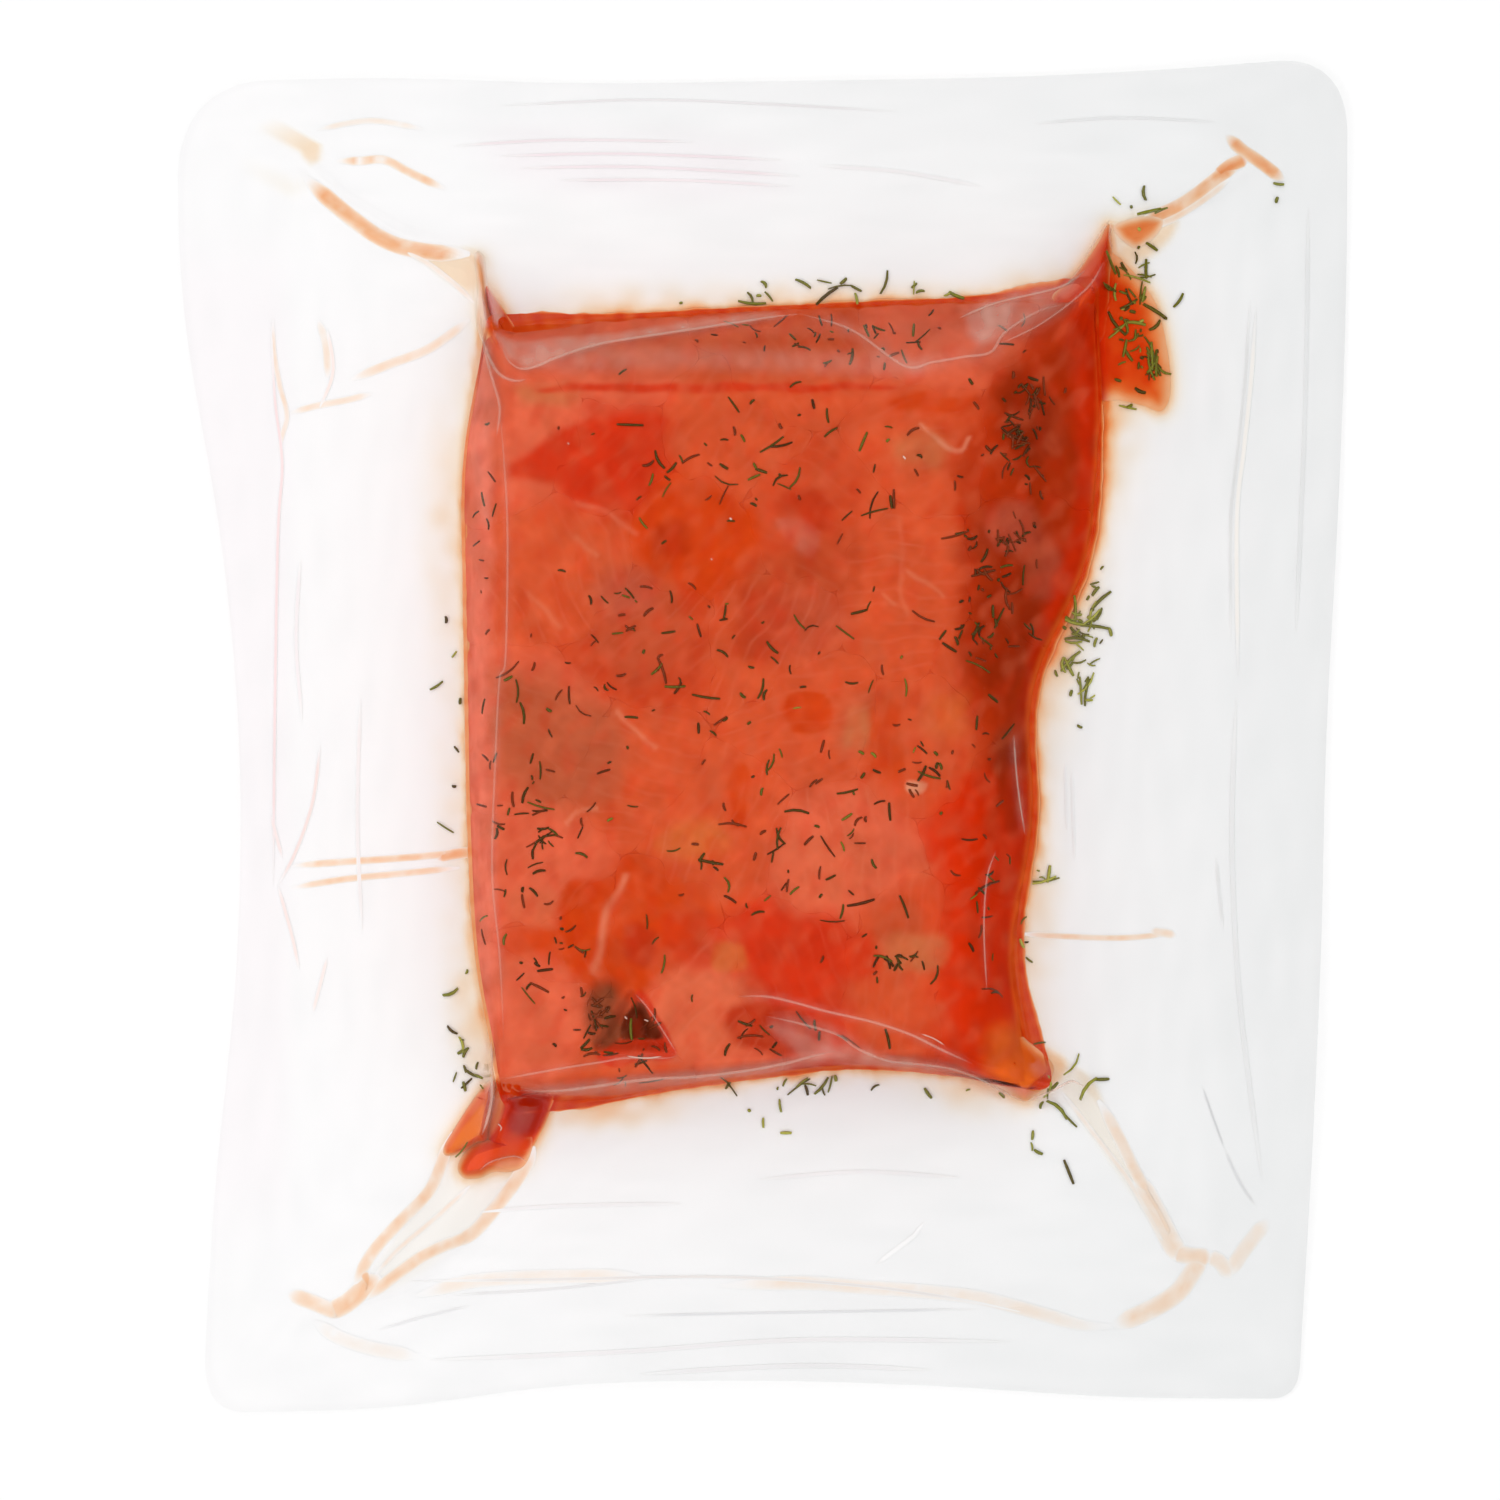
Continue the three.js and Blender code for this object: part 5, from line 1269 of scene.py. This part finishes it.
MARINADE_THREADS = [  # depth in the middle, half width, line
    (0.95, 0.95, [(-76.2, 93.1), (-73.8, 90.8), (-70.7, 88.1), (-67.3, 85.4), (-64, 83.1),
        (-60.2, 81.4), (-54.8, 80.4), (-48.5, 80.1)]),
    (0.55, 0.5, [(-70.8, 95.6), (-66.8, 95.6), (-62.8, 95.8), (-58.8, 93.8), (-55.2, 92.1),
        (-52.5, 90.9)]),
    (0.16, 0.35, [(-74, 100.8), (-67.5, 102.1), (-63.2, 102.2), (-56.3, 100.9)]),
    (0.16, 0.3, [(-60.5, 81.2), (-56, 78.8), (-51.5, 75.4), (-47.8, 71.9)]),
    (0.3, 0.55, [(-68.5, 59.1), (-61.8, 61.8), (-55.2, 64.4), (-48.5, 69.2)]),
    (0.24, 0.4, [(-78.5, 53.6), (-74, 54.8), (-68.8, 55.8), (-64.8, 56.8)]),
    (0.24, 0.3, [(-81.3, 69.4), (-81.2, 64.1), (-80.2, 58.2), (-79, 53.2), (-80, 49.1), (-80.2, 46.1)]),
    (0.22, 0.45, [(-73.8, 69.1), (-72.5, 64.9), (-72.2, 59.4)]),
    (0.55, 0.42, [(-78.5, -21.9), (-69.3, -21.2), (-60.2, -20.6), (-48.8, -19.6)]),
    (0.45, 0.4, [(-78.5, -25.6), (-69.3, -24.1), (-60.2, -23.2), (-50.2, -22.2)]),
    (0.9, 0.6, [(-54.2, -20.6), (-51, -19.9), (-47.8, -19.6)]),
    (0.45, 0.35, [(43.2, -33.2), (49.8, -33.6), (59.8, -33.9), (68.5, -33.2)]),
    (0.3, 0.5, [(64.8, -32.8), (67.5, -33.1), (69.2, -33.6)]),
    (1, 0.8, [(63.2, 85.4), (66.2, 86.6), (69, 87.8), (72, 89.6), (74.8, 91.8), (77.5, 93.8),
        (80.2, 95.1)]),
    (0.35, 0.4, [(64.8, 84.4), (68.5, 85.9), (72.2, 88.1), (75.5, 90.4), (78.2, 92.8)]),
    (1.3, 0.8, [(75.8, 92.8), (78.2, 94.8), (81.2, 96.1)]),
    (1.1, 0.75, [(77.5, 99.9), (80.2, 97.4), (82.2, 96.1), (84.5, 94.4), (87.2, 92.3)]),
    (0.34, 0.7, [(56.2, -60.9), (57.8, -63.6), (60.2, -68.2), (62.8, -73.6), (66.2, -79.6),
        (68.5, -84.2), (70.2, -86.9)]),
    (0.26, 1.2, [(62.5, -73.6), (65.8, -79.6), (68.5, -84.9), (70.5, -87.9)]),
    (0.16, 0.3, [(50.2, -59.6), (55.7, -66.9), (61.2, -74.2), (66.2, -82.9), (68.5, -87.2)]),
    (0.36, 1, [(68.5, -86.2), (71.5, -86.9), (75.2, -87.2)]),
    (0.22, 0.9, [(74.2, -86.9), (76.5, -87.9), (78.2, -90.6)]),
    (0.2, 0.9, [(77.8, -90.2), (80.5, -85.9), (84.5, -80.9)]),
    (0.34, 1.1, [(74.2, -85.9), (71.5, -90.2), (69.2, -93.2), (64.8, -95.9), (58.5, -98.6)]),
    (0.16, 0.8, [(-6.8, -91.9), (6.5, -91.4), (18.2, -92.2), (28.2, -92.9), (36.5, -93.9),
        (45.5, -96.2), (53.5, -98.4), (59.5, -98.7)]),
    (0.5, 0.8, [(-37.9, -68.6), (-38.5, -70.6), (-41, -74.6), (-44.2, -78.8), (-47.5, -82.6),
        (-50, -84.2), (-52.5, -85.2)]),
    (0.5, 0.7, [(-46.5, -81.6), (-49.5, -83.9), (-53.3, -85.4), (-56.8, -87.2), (-60.2, -89.6),
        (-64.2, -92.6), (-66.8, -94.2)]),
    (0.5, 0.7, [(-51.3, -66.2), (-52.5, -69.2), (-54.3, -74.2), (-56.2, -77.2), (-60.2, -81.2),
        (-64.2, -85.6), (-66.7, -89.6), (-67.7, -93.2)]),
    (0.2, 0.3, [(-48.5, -75.2), (-53.5, -79.9), (-59.8, -85.2), (-64.5, -90.2)]),
    (0.65, 1.1, [(-63.5, -90.2), (-66.5, -92.6), (-69.2, -94.9), (-72.8, -96.6)]),
    (0.45, 0.9, [(-69.4, -96.2), (-71.4, -96.0), (-74.8, -94.6), (-78.8, -93.2)]),
    (0.08, 0.8, [(-74.5, -97.8), (-70.5, -100.4), (-64.5, -102.4), (-57.2, -103.6)]),
    (0.14, 0.8, [(-57.5, -93.6), (-48.5, -91.2), (-36.8, -90.4), (-20.2, -90.2)]),
    (0.8, 0.5, [(-66.5, -89.2), (-65.5, -91.6), (-66.5, -93.2)]),
]

AIR_SPOTS = [
    ((-77.5, 93.4), 1.7), ((-81, 91.2), 0.9), ((-66.7, 95.6), 0.9), ((-63.5, 95.9), 0.8),
    ((-76.5, -96.8), 0.9), ((-73.8, -98.2), 1.0), ((-71.2, -99.6), 0.9),
]

FRINGES = [  # place, spread, and depth of faint juice round the foot of the block
    ((60, 60), (10, 16), 0.5), ((52, 13), (7, 13), 0.45), ((-54, 35), (5, 20), 0.22),
    ((-24, 71), (12, 4), 0.25), ((46, 76), (6, 4), 0.2), ((-26, -63), (11, 3.5), 0.4),
    ((35, -61), (7, 3.5), 0.3), ((48, -33), (4, 12), 0.3), ((-49, -48), (4, 10), 0.35),
    ((10, 73), (25, 3), 0.16), ((-52, -15), (4, 20), 0.1),
]

EXTINCTION = np.array([0.09, 1.0, 1.9])  # of red, green and blue light in a unit of depth
TABLE_WHITE = 0.9
HAZE_AND_SHEEN_COLOUR = np.array([0.82, 0.56, 0.46])  # a fold of film over the fish, as linear light: the colour of the milky film and of its painted sheen
RIM_DEPTH, POOL_RIM = 0.7, 0.25  # depth at the rim of the ring, and the pools' rim as a share
SOFT_RIM, SOFT_POOL = 0.5, 0.8  # millimetres over which the thin marinade beside them fades


def juice_over_white(depth):
    """Colour of marinade on a white table: each colour of light dies out at its own rate."""
    return TABLE_WHITE * np.exp(-EXTINCTION * np.asarray(depth)[..., None])


def deep_juice(depth):
    """Deep marinade lies over fish and shade, not over the white table, so it is darker."""
    return juice_over_white(depth) * lerp(1.0, 0.9, smoothstep((depth - 1.2) / 2.0))[..., None]


def foot_distance(x, y):
    """Distance outside the block's foot: the length of what each side's distance has past 0."""
    outside = [np.maximum(-BLOCK_FOOT.inside_by(k, x, y), 0.0) for k in range(4)]
    return np.sqrt(sum(part ** 2 for part in outside))


def ring_width(x, y):
    """How far the deep marinade reaches out from the foot: hardly at all at the left, most at the
    right, and uneven everywhere."""
    right = smoothstep((x - 36.0) / 8.0)
    top = smoothstep((y - 60.0) / 6.0) * smoothstep((x + 44.0) / 12.0)
    near = smoothstep((-y - 52.0) / 5.0)
    uneven = 0.16 * wobble(x, y, 13.0, 51) + 0.1 * wobble(x, y, 5.0, 55)
    return np.maximum(0.08 + 0.2 * top + 0.25 * near + 0.5 * right + uneven, 0.03)


def without_air(x, y):
    """1, and nearly 0 inside the small rounds of air."""
    share = np.ones(np.shape(x))
    for (sx, sy), radius in AIR_SPOTS:
        share = share * (1.0 - 0.9 * np.exp(-(((x - sx) ** 2 + (y - sy) ** 2) / radius ** 2) ** 2))
    return share


def film_juice(x, y):
    """Depth of the thin marinade on the base film: a soft rim round the deep ring and the pools,
    faint fringes and thin areas, with small rounds of air in them."""
    away = foot_distance(x, y)
    width = ring_width(x, y)
    rim = np.clip(0.35 + 1.4 * width, 0.0, 1.3)
    depth = rim * np.exp(-np.maximum(away - width, 0.0) / (SOFT_RIM + 0.3 * width))
    for place, spread, faint in FRINGES:
        bell = np.exp(-((x - place[0]) / spread[0]) ** 2 - ((y - place[1]) / spread[1]) ** 2)
        near = np.exp(-((away / 5.0) ** 2))
        depth = depth + faint * bell * near * (1 + 0.5 * wobble(x, y, 9.0, 52))
    for level, soft, corners in THIN_AREAS:
        depth = np.maximum(depth, level * blot(x, y, corners, soft))
    for level, _, _, corners in POOLS:
        line = rounded(corners, closed=True, steps=4)
        beside = near_only(x, y, line, 5.0 * SOFT_POOL, lambda x, y: np.exp(
            np.minimum(inside_area(line, x, y), 0.0) / SOFT_POOL))
        depth = np.maximum(depth, POOL_RIM * level * beside)
    return depth * without_air(x, y)


FILL_BELOW, FILL_UNDERSIDE, FILL_LOWEST_TOP = 0.13, 0.3, 0.45
UNDER_FILM, UNDER_FISH = 0.3, 0.15
RING_UNDERSIDE, RING_LOWEST_TOP, RING_DEPTH = 0.06, 0.14, 2.4
POOL_UNDERSIDE, POOL_EDGE = 0.02, 0.04
LOW_SLOPE, STEEP_SLOPE = 0.2, 3.0


def marinade_fill():
    """The juice between the pieces: a low body under their tops, so that the gaps are full."""
    around = 420
    turns = uneven_turns(around, CORNER_CROWDS)
    shares = 1.0 - (1.0 - np.linspace(0, 1, 91)[1:]) ** 1.2
    rings = [lerp(np.array(MIDDLE), BLOCK_FOOT.at(turns), 0.985 * share) for share in shares]
    plan = np.stack(rings)
    top = np.maximum(flesh_height(plan[..., 0], plan[..., 1]) - FILL_BELOW, FILL_LOWEST_TOP)
    under = np.stack([plan[-1], plan[-1] * 0.5])
    rings = np.concatenate([raised(plan, top), raised(under, np.full((2, around), FILL_UNDERSIDE))])
    middle_top = height_at(flesh_height, MIDDLE) - FILL_BELOW
    points = capped_points((*MIDDLE, middle_top), rings, (0.0, 0.0, FILL_UNDERSIDE))
    faces = capped_faces(len(rings), around)
    seen = 0.95 * paint_flesh(points[:, 0], points[:, 1], CORAL)
    return new_piece("marinade_fill", points, faces, MARINADE, {}, {"juice": seen})


def marinade_ring():
    """The deep marinade round the foot: a closed ring just under the film, from under the edge of
    the fish out to where it gets shallow."""
    around = 960
    turns = uneven_turns(around, CORNER_CROWDS)
    foot = skirt_at(turns, 0.0)
    out = ring_width(foot[:, 0], foot[:, 1]) / np.hypot(*(skirt_at(turns, 1.0) - foot).T)
    shares = np.array([-0.1, -0.07, -0.04, -0.02, 0.0, 0.25, 0.5, 0.75, 1.0])
    plan = np.stack([skirt_at_each(turns, np.where(share < 0, share, share * out))
                     for share in shares])
    x, y = plan[..., 0], plan[..., 1]
    top = np.where(shares[:, None] < 0, flesh_height(x, y) - UNDER_FISH,
                   film_height(x, y) - UNDER_FILM)
    top = np.maximum(top, RING_LOWEST_TOP)
    rings = np.concatenate([raised(plan, top),
                            raised(plan[[-1, 0]], np.full((2, around), RING_UNDERSIDE))])
    depth = lerp(RING_DEPTH, RIM_DEPTH, np.clip([*shares, 1.0, 0.0], 0.0, 1.0))[:, None]
    x, y = rings[..., 0], rings[..., 1]
    pale = smoothstep((-x - 38.0) / 6.0) * smoothstep((62.0 - y) / 6.0)
    depth = depth * lerp(1.0, 0.4, pale)
    for level, _, _, corners in POOLS:
        joins = near_only(x, y, corners, 2.0, lambda x, y: smoothstep(
            inside_area(corners, x, y) / 1.2 + 1.0))
        depth = lerp(depth, level, joins)
    depth = depth * (1.0 + 0.15 * wobble(x, y, 5.0, 53))
    return new_piece("marinade_ring", rings.reshape(-1, 3),
                     ring_faces(len(rings), around, closed=True), MARINADE, {},
                     {"juice": deep_juice(depth.ravel())}, smooth=False)


THREAD_WIDTH, THREAD_LEVEL = 1.5, 0.72


def marinade_threads():
    """Thin marinade drawn out along the ears and wrinkles: flat closed strips on the base film,
    deepest in colour along their middle and clear at both sides and ends."""
    rows = [(THREAD_WIDTH * half, line) for _, half, line in MARINADE_THREADS]
    points, faces, shares = soft_strips(rows, 0.02, 0.9)
    level = np.concatenate([level * share
                            for share, (level, _, _) in zip(shares, MARINADE_THREADS)])
    x, y = points[:, 0], points[:, 1]
    uneven = without_air(x, y) * (1.0 + 0.3 * wobble(x, y, 9.0, 56) + 0.2 * wobble(x, y, 3.0, 57))
    return new_piece("marinade_threads", points, faces, THIN_MARINADE_AND_CREASE_SHADE, {},
                     {"juice": juice_over_white(THREAD_LEVEL * level * uneven)}, smooth=False)


def marinade_pools():
    """Deep marinade in the ears and in a lobe at the right: closed bodies just under the film, and
    no higher than their cap, with rings drawn from the outline of each towards its middle. Their
    colour follows the depth, with the patches of EAR_TONES laid over it."""
    parts, colours = [], []
    around, shares = 168, np.linspace(1.0, 0.0, 29)[:-1]
    for level, rim, cap, corners in POOLS:
        ring = np.array(rounded(corners, closed=True, steps=12))
        steps = np.hypot(*(np.roll(ring, -1, axis=0) - ring).T)
        along = np.concatenate([[0.0], np.cumsum(steps)])
        at = np.linspace(0.0, along[-1], around, endpoint=False)
        closed = np.concatenate([ring, ring[:1]])
        line = np.stack([np.interp(at, along, closed[:, axis]) for axis in (0, 1)], axis=1)
        middle = line.mean(axis=0)
        if np.cross(line[0] - middle, line[1] - middle) > 0:
            line = line[::-1]
        plan = np.stack([lerp(middle, line, share) for share in shares])
        px, py = plan[..., 0], plan[..., 1]
        within = np.min([BLOCK_FOOT.inside_by(k, px, py) for k in range(4)], axis=0)
        top = lerp(film_height(px, py) - UNDER_FILM, flesh_height(px, py) - UNDER_FISH,
                   smoothstep((within + 0.6) / 2.4))
        deep_in = np.maximum(inside_area([tuple(point) for point in line], px, py), 0.0)
        slope = LOW_SLOPE if cap < 10 else STEEP_SLOPE
        top = np.minimum(np.clip(top, POOL_EDGE, cap), POOL_EDGE + slope * deep_in)
        rings = np.concatenate([raised(plan, top)[::-1],
                                raised(line, np.full(around, POOL_UNDERSIDE))[None]])
        middle_top = min(height_at(film_height, middle) - UNDER_FILM, cap)
        points = capped_points((*middle, middle_top), rings, (*middle, POOL_UNDERSIDE))
        faces = capped_faces(len(rings), around)
        x, y = points[:, 0], points[:, 1]
        inside = inside_area([tuple(point) for point in line], x, y)
        depth = lerp(POOL_RIM * level, level, smoothstep(inside / rim))
        depth = depth * (1.0 + 0.12 * wobble(x, y, 7.0, 54))
        colour = juice_over_white(depth)
        for tone, strength, soft, patch in EAR_TONES:
            mask = strength * blot(x, y, patch, soft)
            colour = lerp(colour, shade(*tone), mask[:, None])
        parts.append((points, faces))
        colours.append(colour)
    points, faces = joined(parts)
    return new_piece("marinade_pools", points, faces, MARINADE, {},
                     {"juice": np.concatenate(colours)}, smooth=False)


# ------------------------------------------------------------------ dill

DILL_ON_FISH = [  # middle, half spread, count, tint of the clusters on the fish
    ((42, 50), (6, 10), 44, 0.2), ((38, 22), (6, 15), 64, 0.2), ((12, 66), (22, 4), 50, 0.3),
    ((-16, 14), (15, 11), 42, 0.35), ((-37, -15), (7, 13), 44, 0.3), ((-35, -36), (7, 6), 26, 0.25),
    ((-24, -50), (8, 7), 26, 0.15), ((22, -38), (4, 2), 16, 0.2), ((4, -23), (20, 8), 34, 0.35),
    ((26, -6), (4, 5), 16, 0.2), ((2, -50), (9, 3), 16, 0.2), ((38, -30), (4, 16), 20, 0.2),
    ((0, 45), (28, 12), 62, 0.4), ((0, 0), (36, 34), 104, 0.4), ((-8, -58), (24, 2), 20, 0.3),
    ((-45.5, 10), (1.5, 40), 18, 0.15), ((45, 56), (1.6, 3), 16, 0.05),
    ((42, 49), (2.5, 1.6), 18, 0.05), ((41, 32), (2.5, 1.2), 14, 0.05),
    ((-27, -46.5), (1.2, 2.2), 14, 0.05),
]
DILL_IN_SKIRT = [
    ((62, 70), (4, 12), 60, 0.6), ((53.5, 15), (3.2, 9), 66, 0.72), ((14, 73), (24, 2.4), 30, 0.7),
    ((12, -58), (20, 2), 18, 0.65), ((50, -60), (8, 9), 16, 0.72), ((-51, -10), (3, 42), 14, 0.6),
    ((-49.5, -55), (2, 5), 12, 0.6), ((45, -28), (2.2, 12), 16, 0.75), ((62, 86), (5, 3), 6, 0.7),
    ((86, 90), (2, 4), 2, 0.7), ((2, -64), (3, 3), 4, 0.75), ((64.5, 62), (1.6, 2.4), 16, 0.5),
]


FLECK_POINTS = 18


def slivers(x, y, heading, length, width, bend, height):
    """Bent slivers of leaf as one mesh: four stations along each, a flat diamond section, closed
    to a point at both ends. The centre line is a parabola of the given bend."""
    count = len(x)
    along = np.linspace(-0.5, 0.5, 4)
    wide = np.array([0.8, 1.0, 1.0, 0.75])
    run = along[None, :] * length[:, None]
    sag = bend[:, None] * (along[None, :] ** 2 - 0.08) * length[:, None]
    cos, sin = np.cos(heading)[:, None], np.sin(heading)[:, None]
    px, py = x[:, None] + run * cos - sag * sin, y[:, None] + run * sin + sag * cos
    across = np.array([1.0, 0.0, -1.0, 0.0])
    up = np.array([0.0, 1.0, 0.0, -1.0])
    half = (0.5 * width[:, None] * wide)[..., None]
    sx = px[..., None] - half * across * sin[..., None]
    sy = py[..., None] + half * across * cos[..., None]
    sz = height(px, py)[..., None] + half * up * 0.45
    body = np.stack([sx, sy, sz], axis=-1).reshape(count, 16, 3)
    tip_a = body[:, :4].mean(axis=1, keepdims=True)
    tip_b = body[:, 12:].mean(axis=1, keepdims=True)
    push = np.stack([np.cos(heading), np.sin(heading), 0 * heading], axis=-1)[:, None, :]
    tip_a = tip_a - push * 0.15 * width[:, None, None]
    tip_b = tip_b + push * 0.15 * width[:, None, None]
    points = np.concatenate([tip_a, body, tip_b], axis=1)
    one = np.concatenate([fan_faces(0, 1, 4, True), ring_faces(4, 4, 1)[:, ::-1],
                          fan_faces(17, 13, 4, False)])
    faces = one[None, :, :] + FLECK_POINTS * np.arange(count)[:, None, None]
    return points.reshape(-1, 3), faces.reshape(-1, 3)


def scatter(clusters, seed, sunk, size):
    """Places, tints and sizes of the flecks: a bell-shaped scatter about each cluster's middle.
    The share "sunk" of them lies under a little marinade and looks brown."""
    draw = np.random.default_rng(seed)
    rows = []
    for middle, spread, count, tint in clusters:
        place = np.array(middle) + draw.normal(0, 0.62, (count, 2)) * np.array(spread)
        heading = draw.uniform(0, np.pi, count)
        length = (size * draw.gamma(2.6, 0.74, count)).clip(0.5, 4.6)
        width, bend = size * draw.uniform(0.24, 0.54, count), draw.normal(0, 0.3, count)
        own_tint = tint * (draw.uniform(0, 1, count) > sunk) + draw.normal(0, 0.14, count)
        rows.append(np.column_stack([place, heading, length, width, bend,
                                     np.clip(own_tint, 0.0, 1.0)]))
    return np.concatenate(rows)


def dill(name, rows, height):
    """Flecks of dill as one piece, from the rows that "scatter" gives."""
    x, y, heading, length, width, bend, tint = rows.T
    points, faces = slivers(x, y, heading, length, width, bend, height)
    return new_piece(name, points, faces, DILL, {"tint": np.repeat(tint, FLECK_POINTS)})


def dill_pieces():
    """The dill on the fish, kept off the block's edge, and the dill in the skirt, kept off its
    foot: each fleck lies just under the film."""
    on_fish = scatter(DILL_ON_FISH, 61, 0.4, 0.9)
    inside = np.min([BLOCK_FOOT.inside_by(k, on_fish[:, 0], on_fish[:, 1]) for k in range(4)],
                    axis=0)
    on_fish = on_fish[inside > 2.0]
    dill("dill_on_fish", on_fish, lambda x, y: flesh_height(x, y) + 0.16)
    beside = scatter(DILL_IN_SKIRT, 62, 0.0, 1.15)
    away = foot_distance(beside[:, 0], beside[:, 1])
    beside = beside[away > 0.6]
    dill("dill_in_skirt", beside, lambda x, y: np.maximum(film_height(x, y) - 0.13, 0.2))


# ------------------------------------------------------------------ build the pack

film_bag()
film_folds_and_glints()
film_wrinkles()
for number in range(len(SALMON_PIECES)):
    salmon_piece(number)
marinade_fill()
marinade_ring()
marinade_pools()
marinade_threads()
dill_pieces()


# ------------------------------------------------------------------ table, light and camera

def white_table():
    """A matt white table, 4 m square, just under the pack."""
    reach, below = 2.0, -0.00005
    mesh = bpy.data.meshes.new("table")
    corners = [(-reach, -reach, below), (reach, -reach, below), (reach, reach, below),
               (-reach, reach, below)]
    mesh.from_pydata(corners, [], [(0, 1, 2, 3)])
    material, tree, out = new_material("matt_white_table")
    soft = blend_colours(tree, cloud(tree, 90.0), (0.905, 0.905, 0.905), (0.90, 0.90, 0.90))
    finish_matt(tree, out, soft, 0.9, 0.1)
    mesh.materials.append(material)
    table = bpy.data.objects.new("table", mesh)
    bpy.context.scene.collection.objects.link(table)


TENT_SIDES, TENT_TOP, TENT_LEFT, TENT_NEAR = 0.46, 1.43, 0.2, 0.06


def studio_world():
    """A light tent: a broad soft light from above, dimmer round the horizon, and a little
    brighter at the left and the near side."""
    world = bpy.data.worlds.new("studio")
    bpy.context.scene.world = world
    world.use_nodes = True
    tree = world.node_tree
    tree.nodes.clear()
    direction = node(tree, "ShaderNodeTexCoord").outputs["Generated"]
    parts = node(tree, "ShaderNodeSeparateXYZ", {0: direction})
    level = node(tree, "ShaderNodeMapRange",
                 {"Value": parts.outputs["Z"], "From Min": 0.3, "From Max": 0.8,
                  "To Min": TENT_SIDES, "To Max": TENT_TOP},
                 interpolation_type="SMOOTHSTEP").outputs[0]
    across = maths(tree, "MULTIPLY_ADD", parts.outputs["X"], -TENT_LEFT, 1.0)
    along = maths(tree, "MULTIPLY_ADD", parts.outputs["Y"], -TENT_NEAR, across)
    strength = maths(tree, "MULTIPLY", level, along)
    light = node(tree, "ShaderNodeBackground", {"Color": (1, 1, 1, 1), "Strength": strength})
    out = node(tree, "ShaderNodeOutputWorld")
    tree.links.new(light.outputs[0], out.inputs["Surface"])


def camera():
    """Straight down from 1.2 m over the middle of a view that is 250 mm wide."""
    height, width, sensor = 1200.0, 250.0, 36.0
    view_middle = (-1.83, -2.58)
    lens = bpy.data.cameras.new("camera")
    lens.sensor_width = sensor
    lens.lens = sensor * height / width
    lens.clip_start, lens.clip_end = 0.05, 20.0
    view = bpy.data.objects.new("camera", lens)
    bpy.context.scene.collection.objects.link(view)
    view.location = on_table([(*view_middle, height)])[0]
    bpy.context.scene.camera = view


white_table()
studio_world()
camera()
bpy.context.scene.view_settings.view_transform = "Standard"
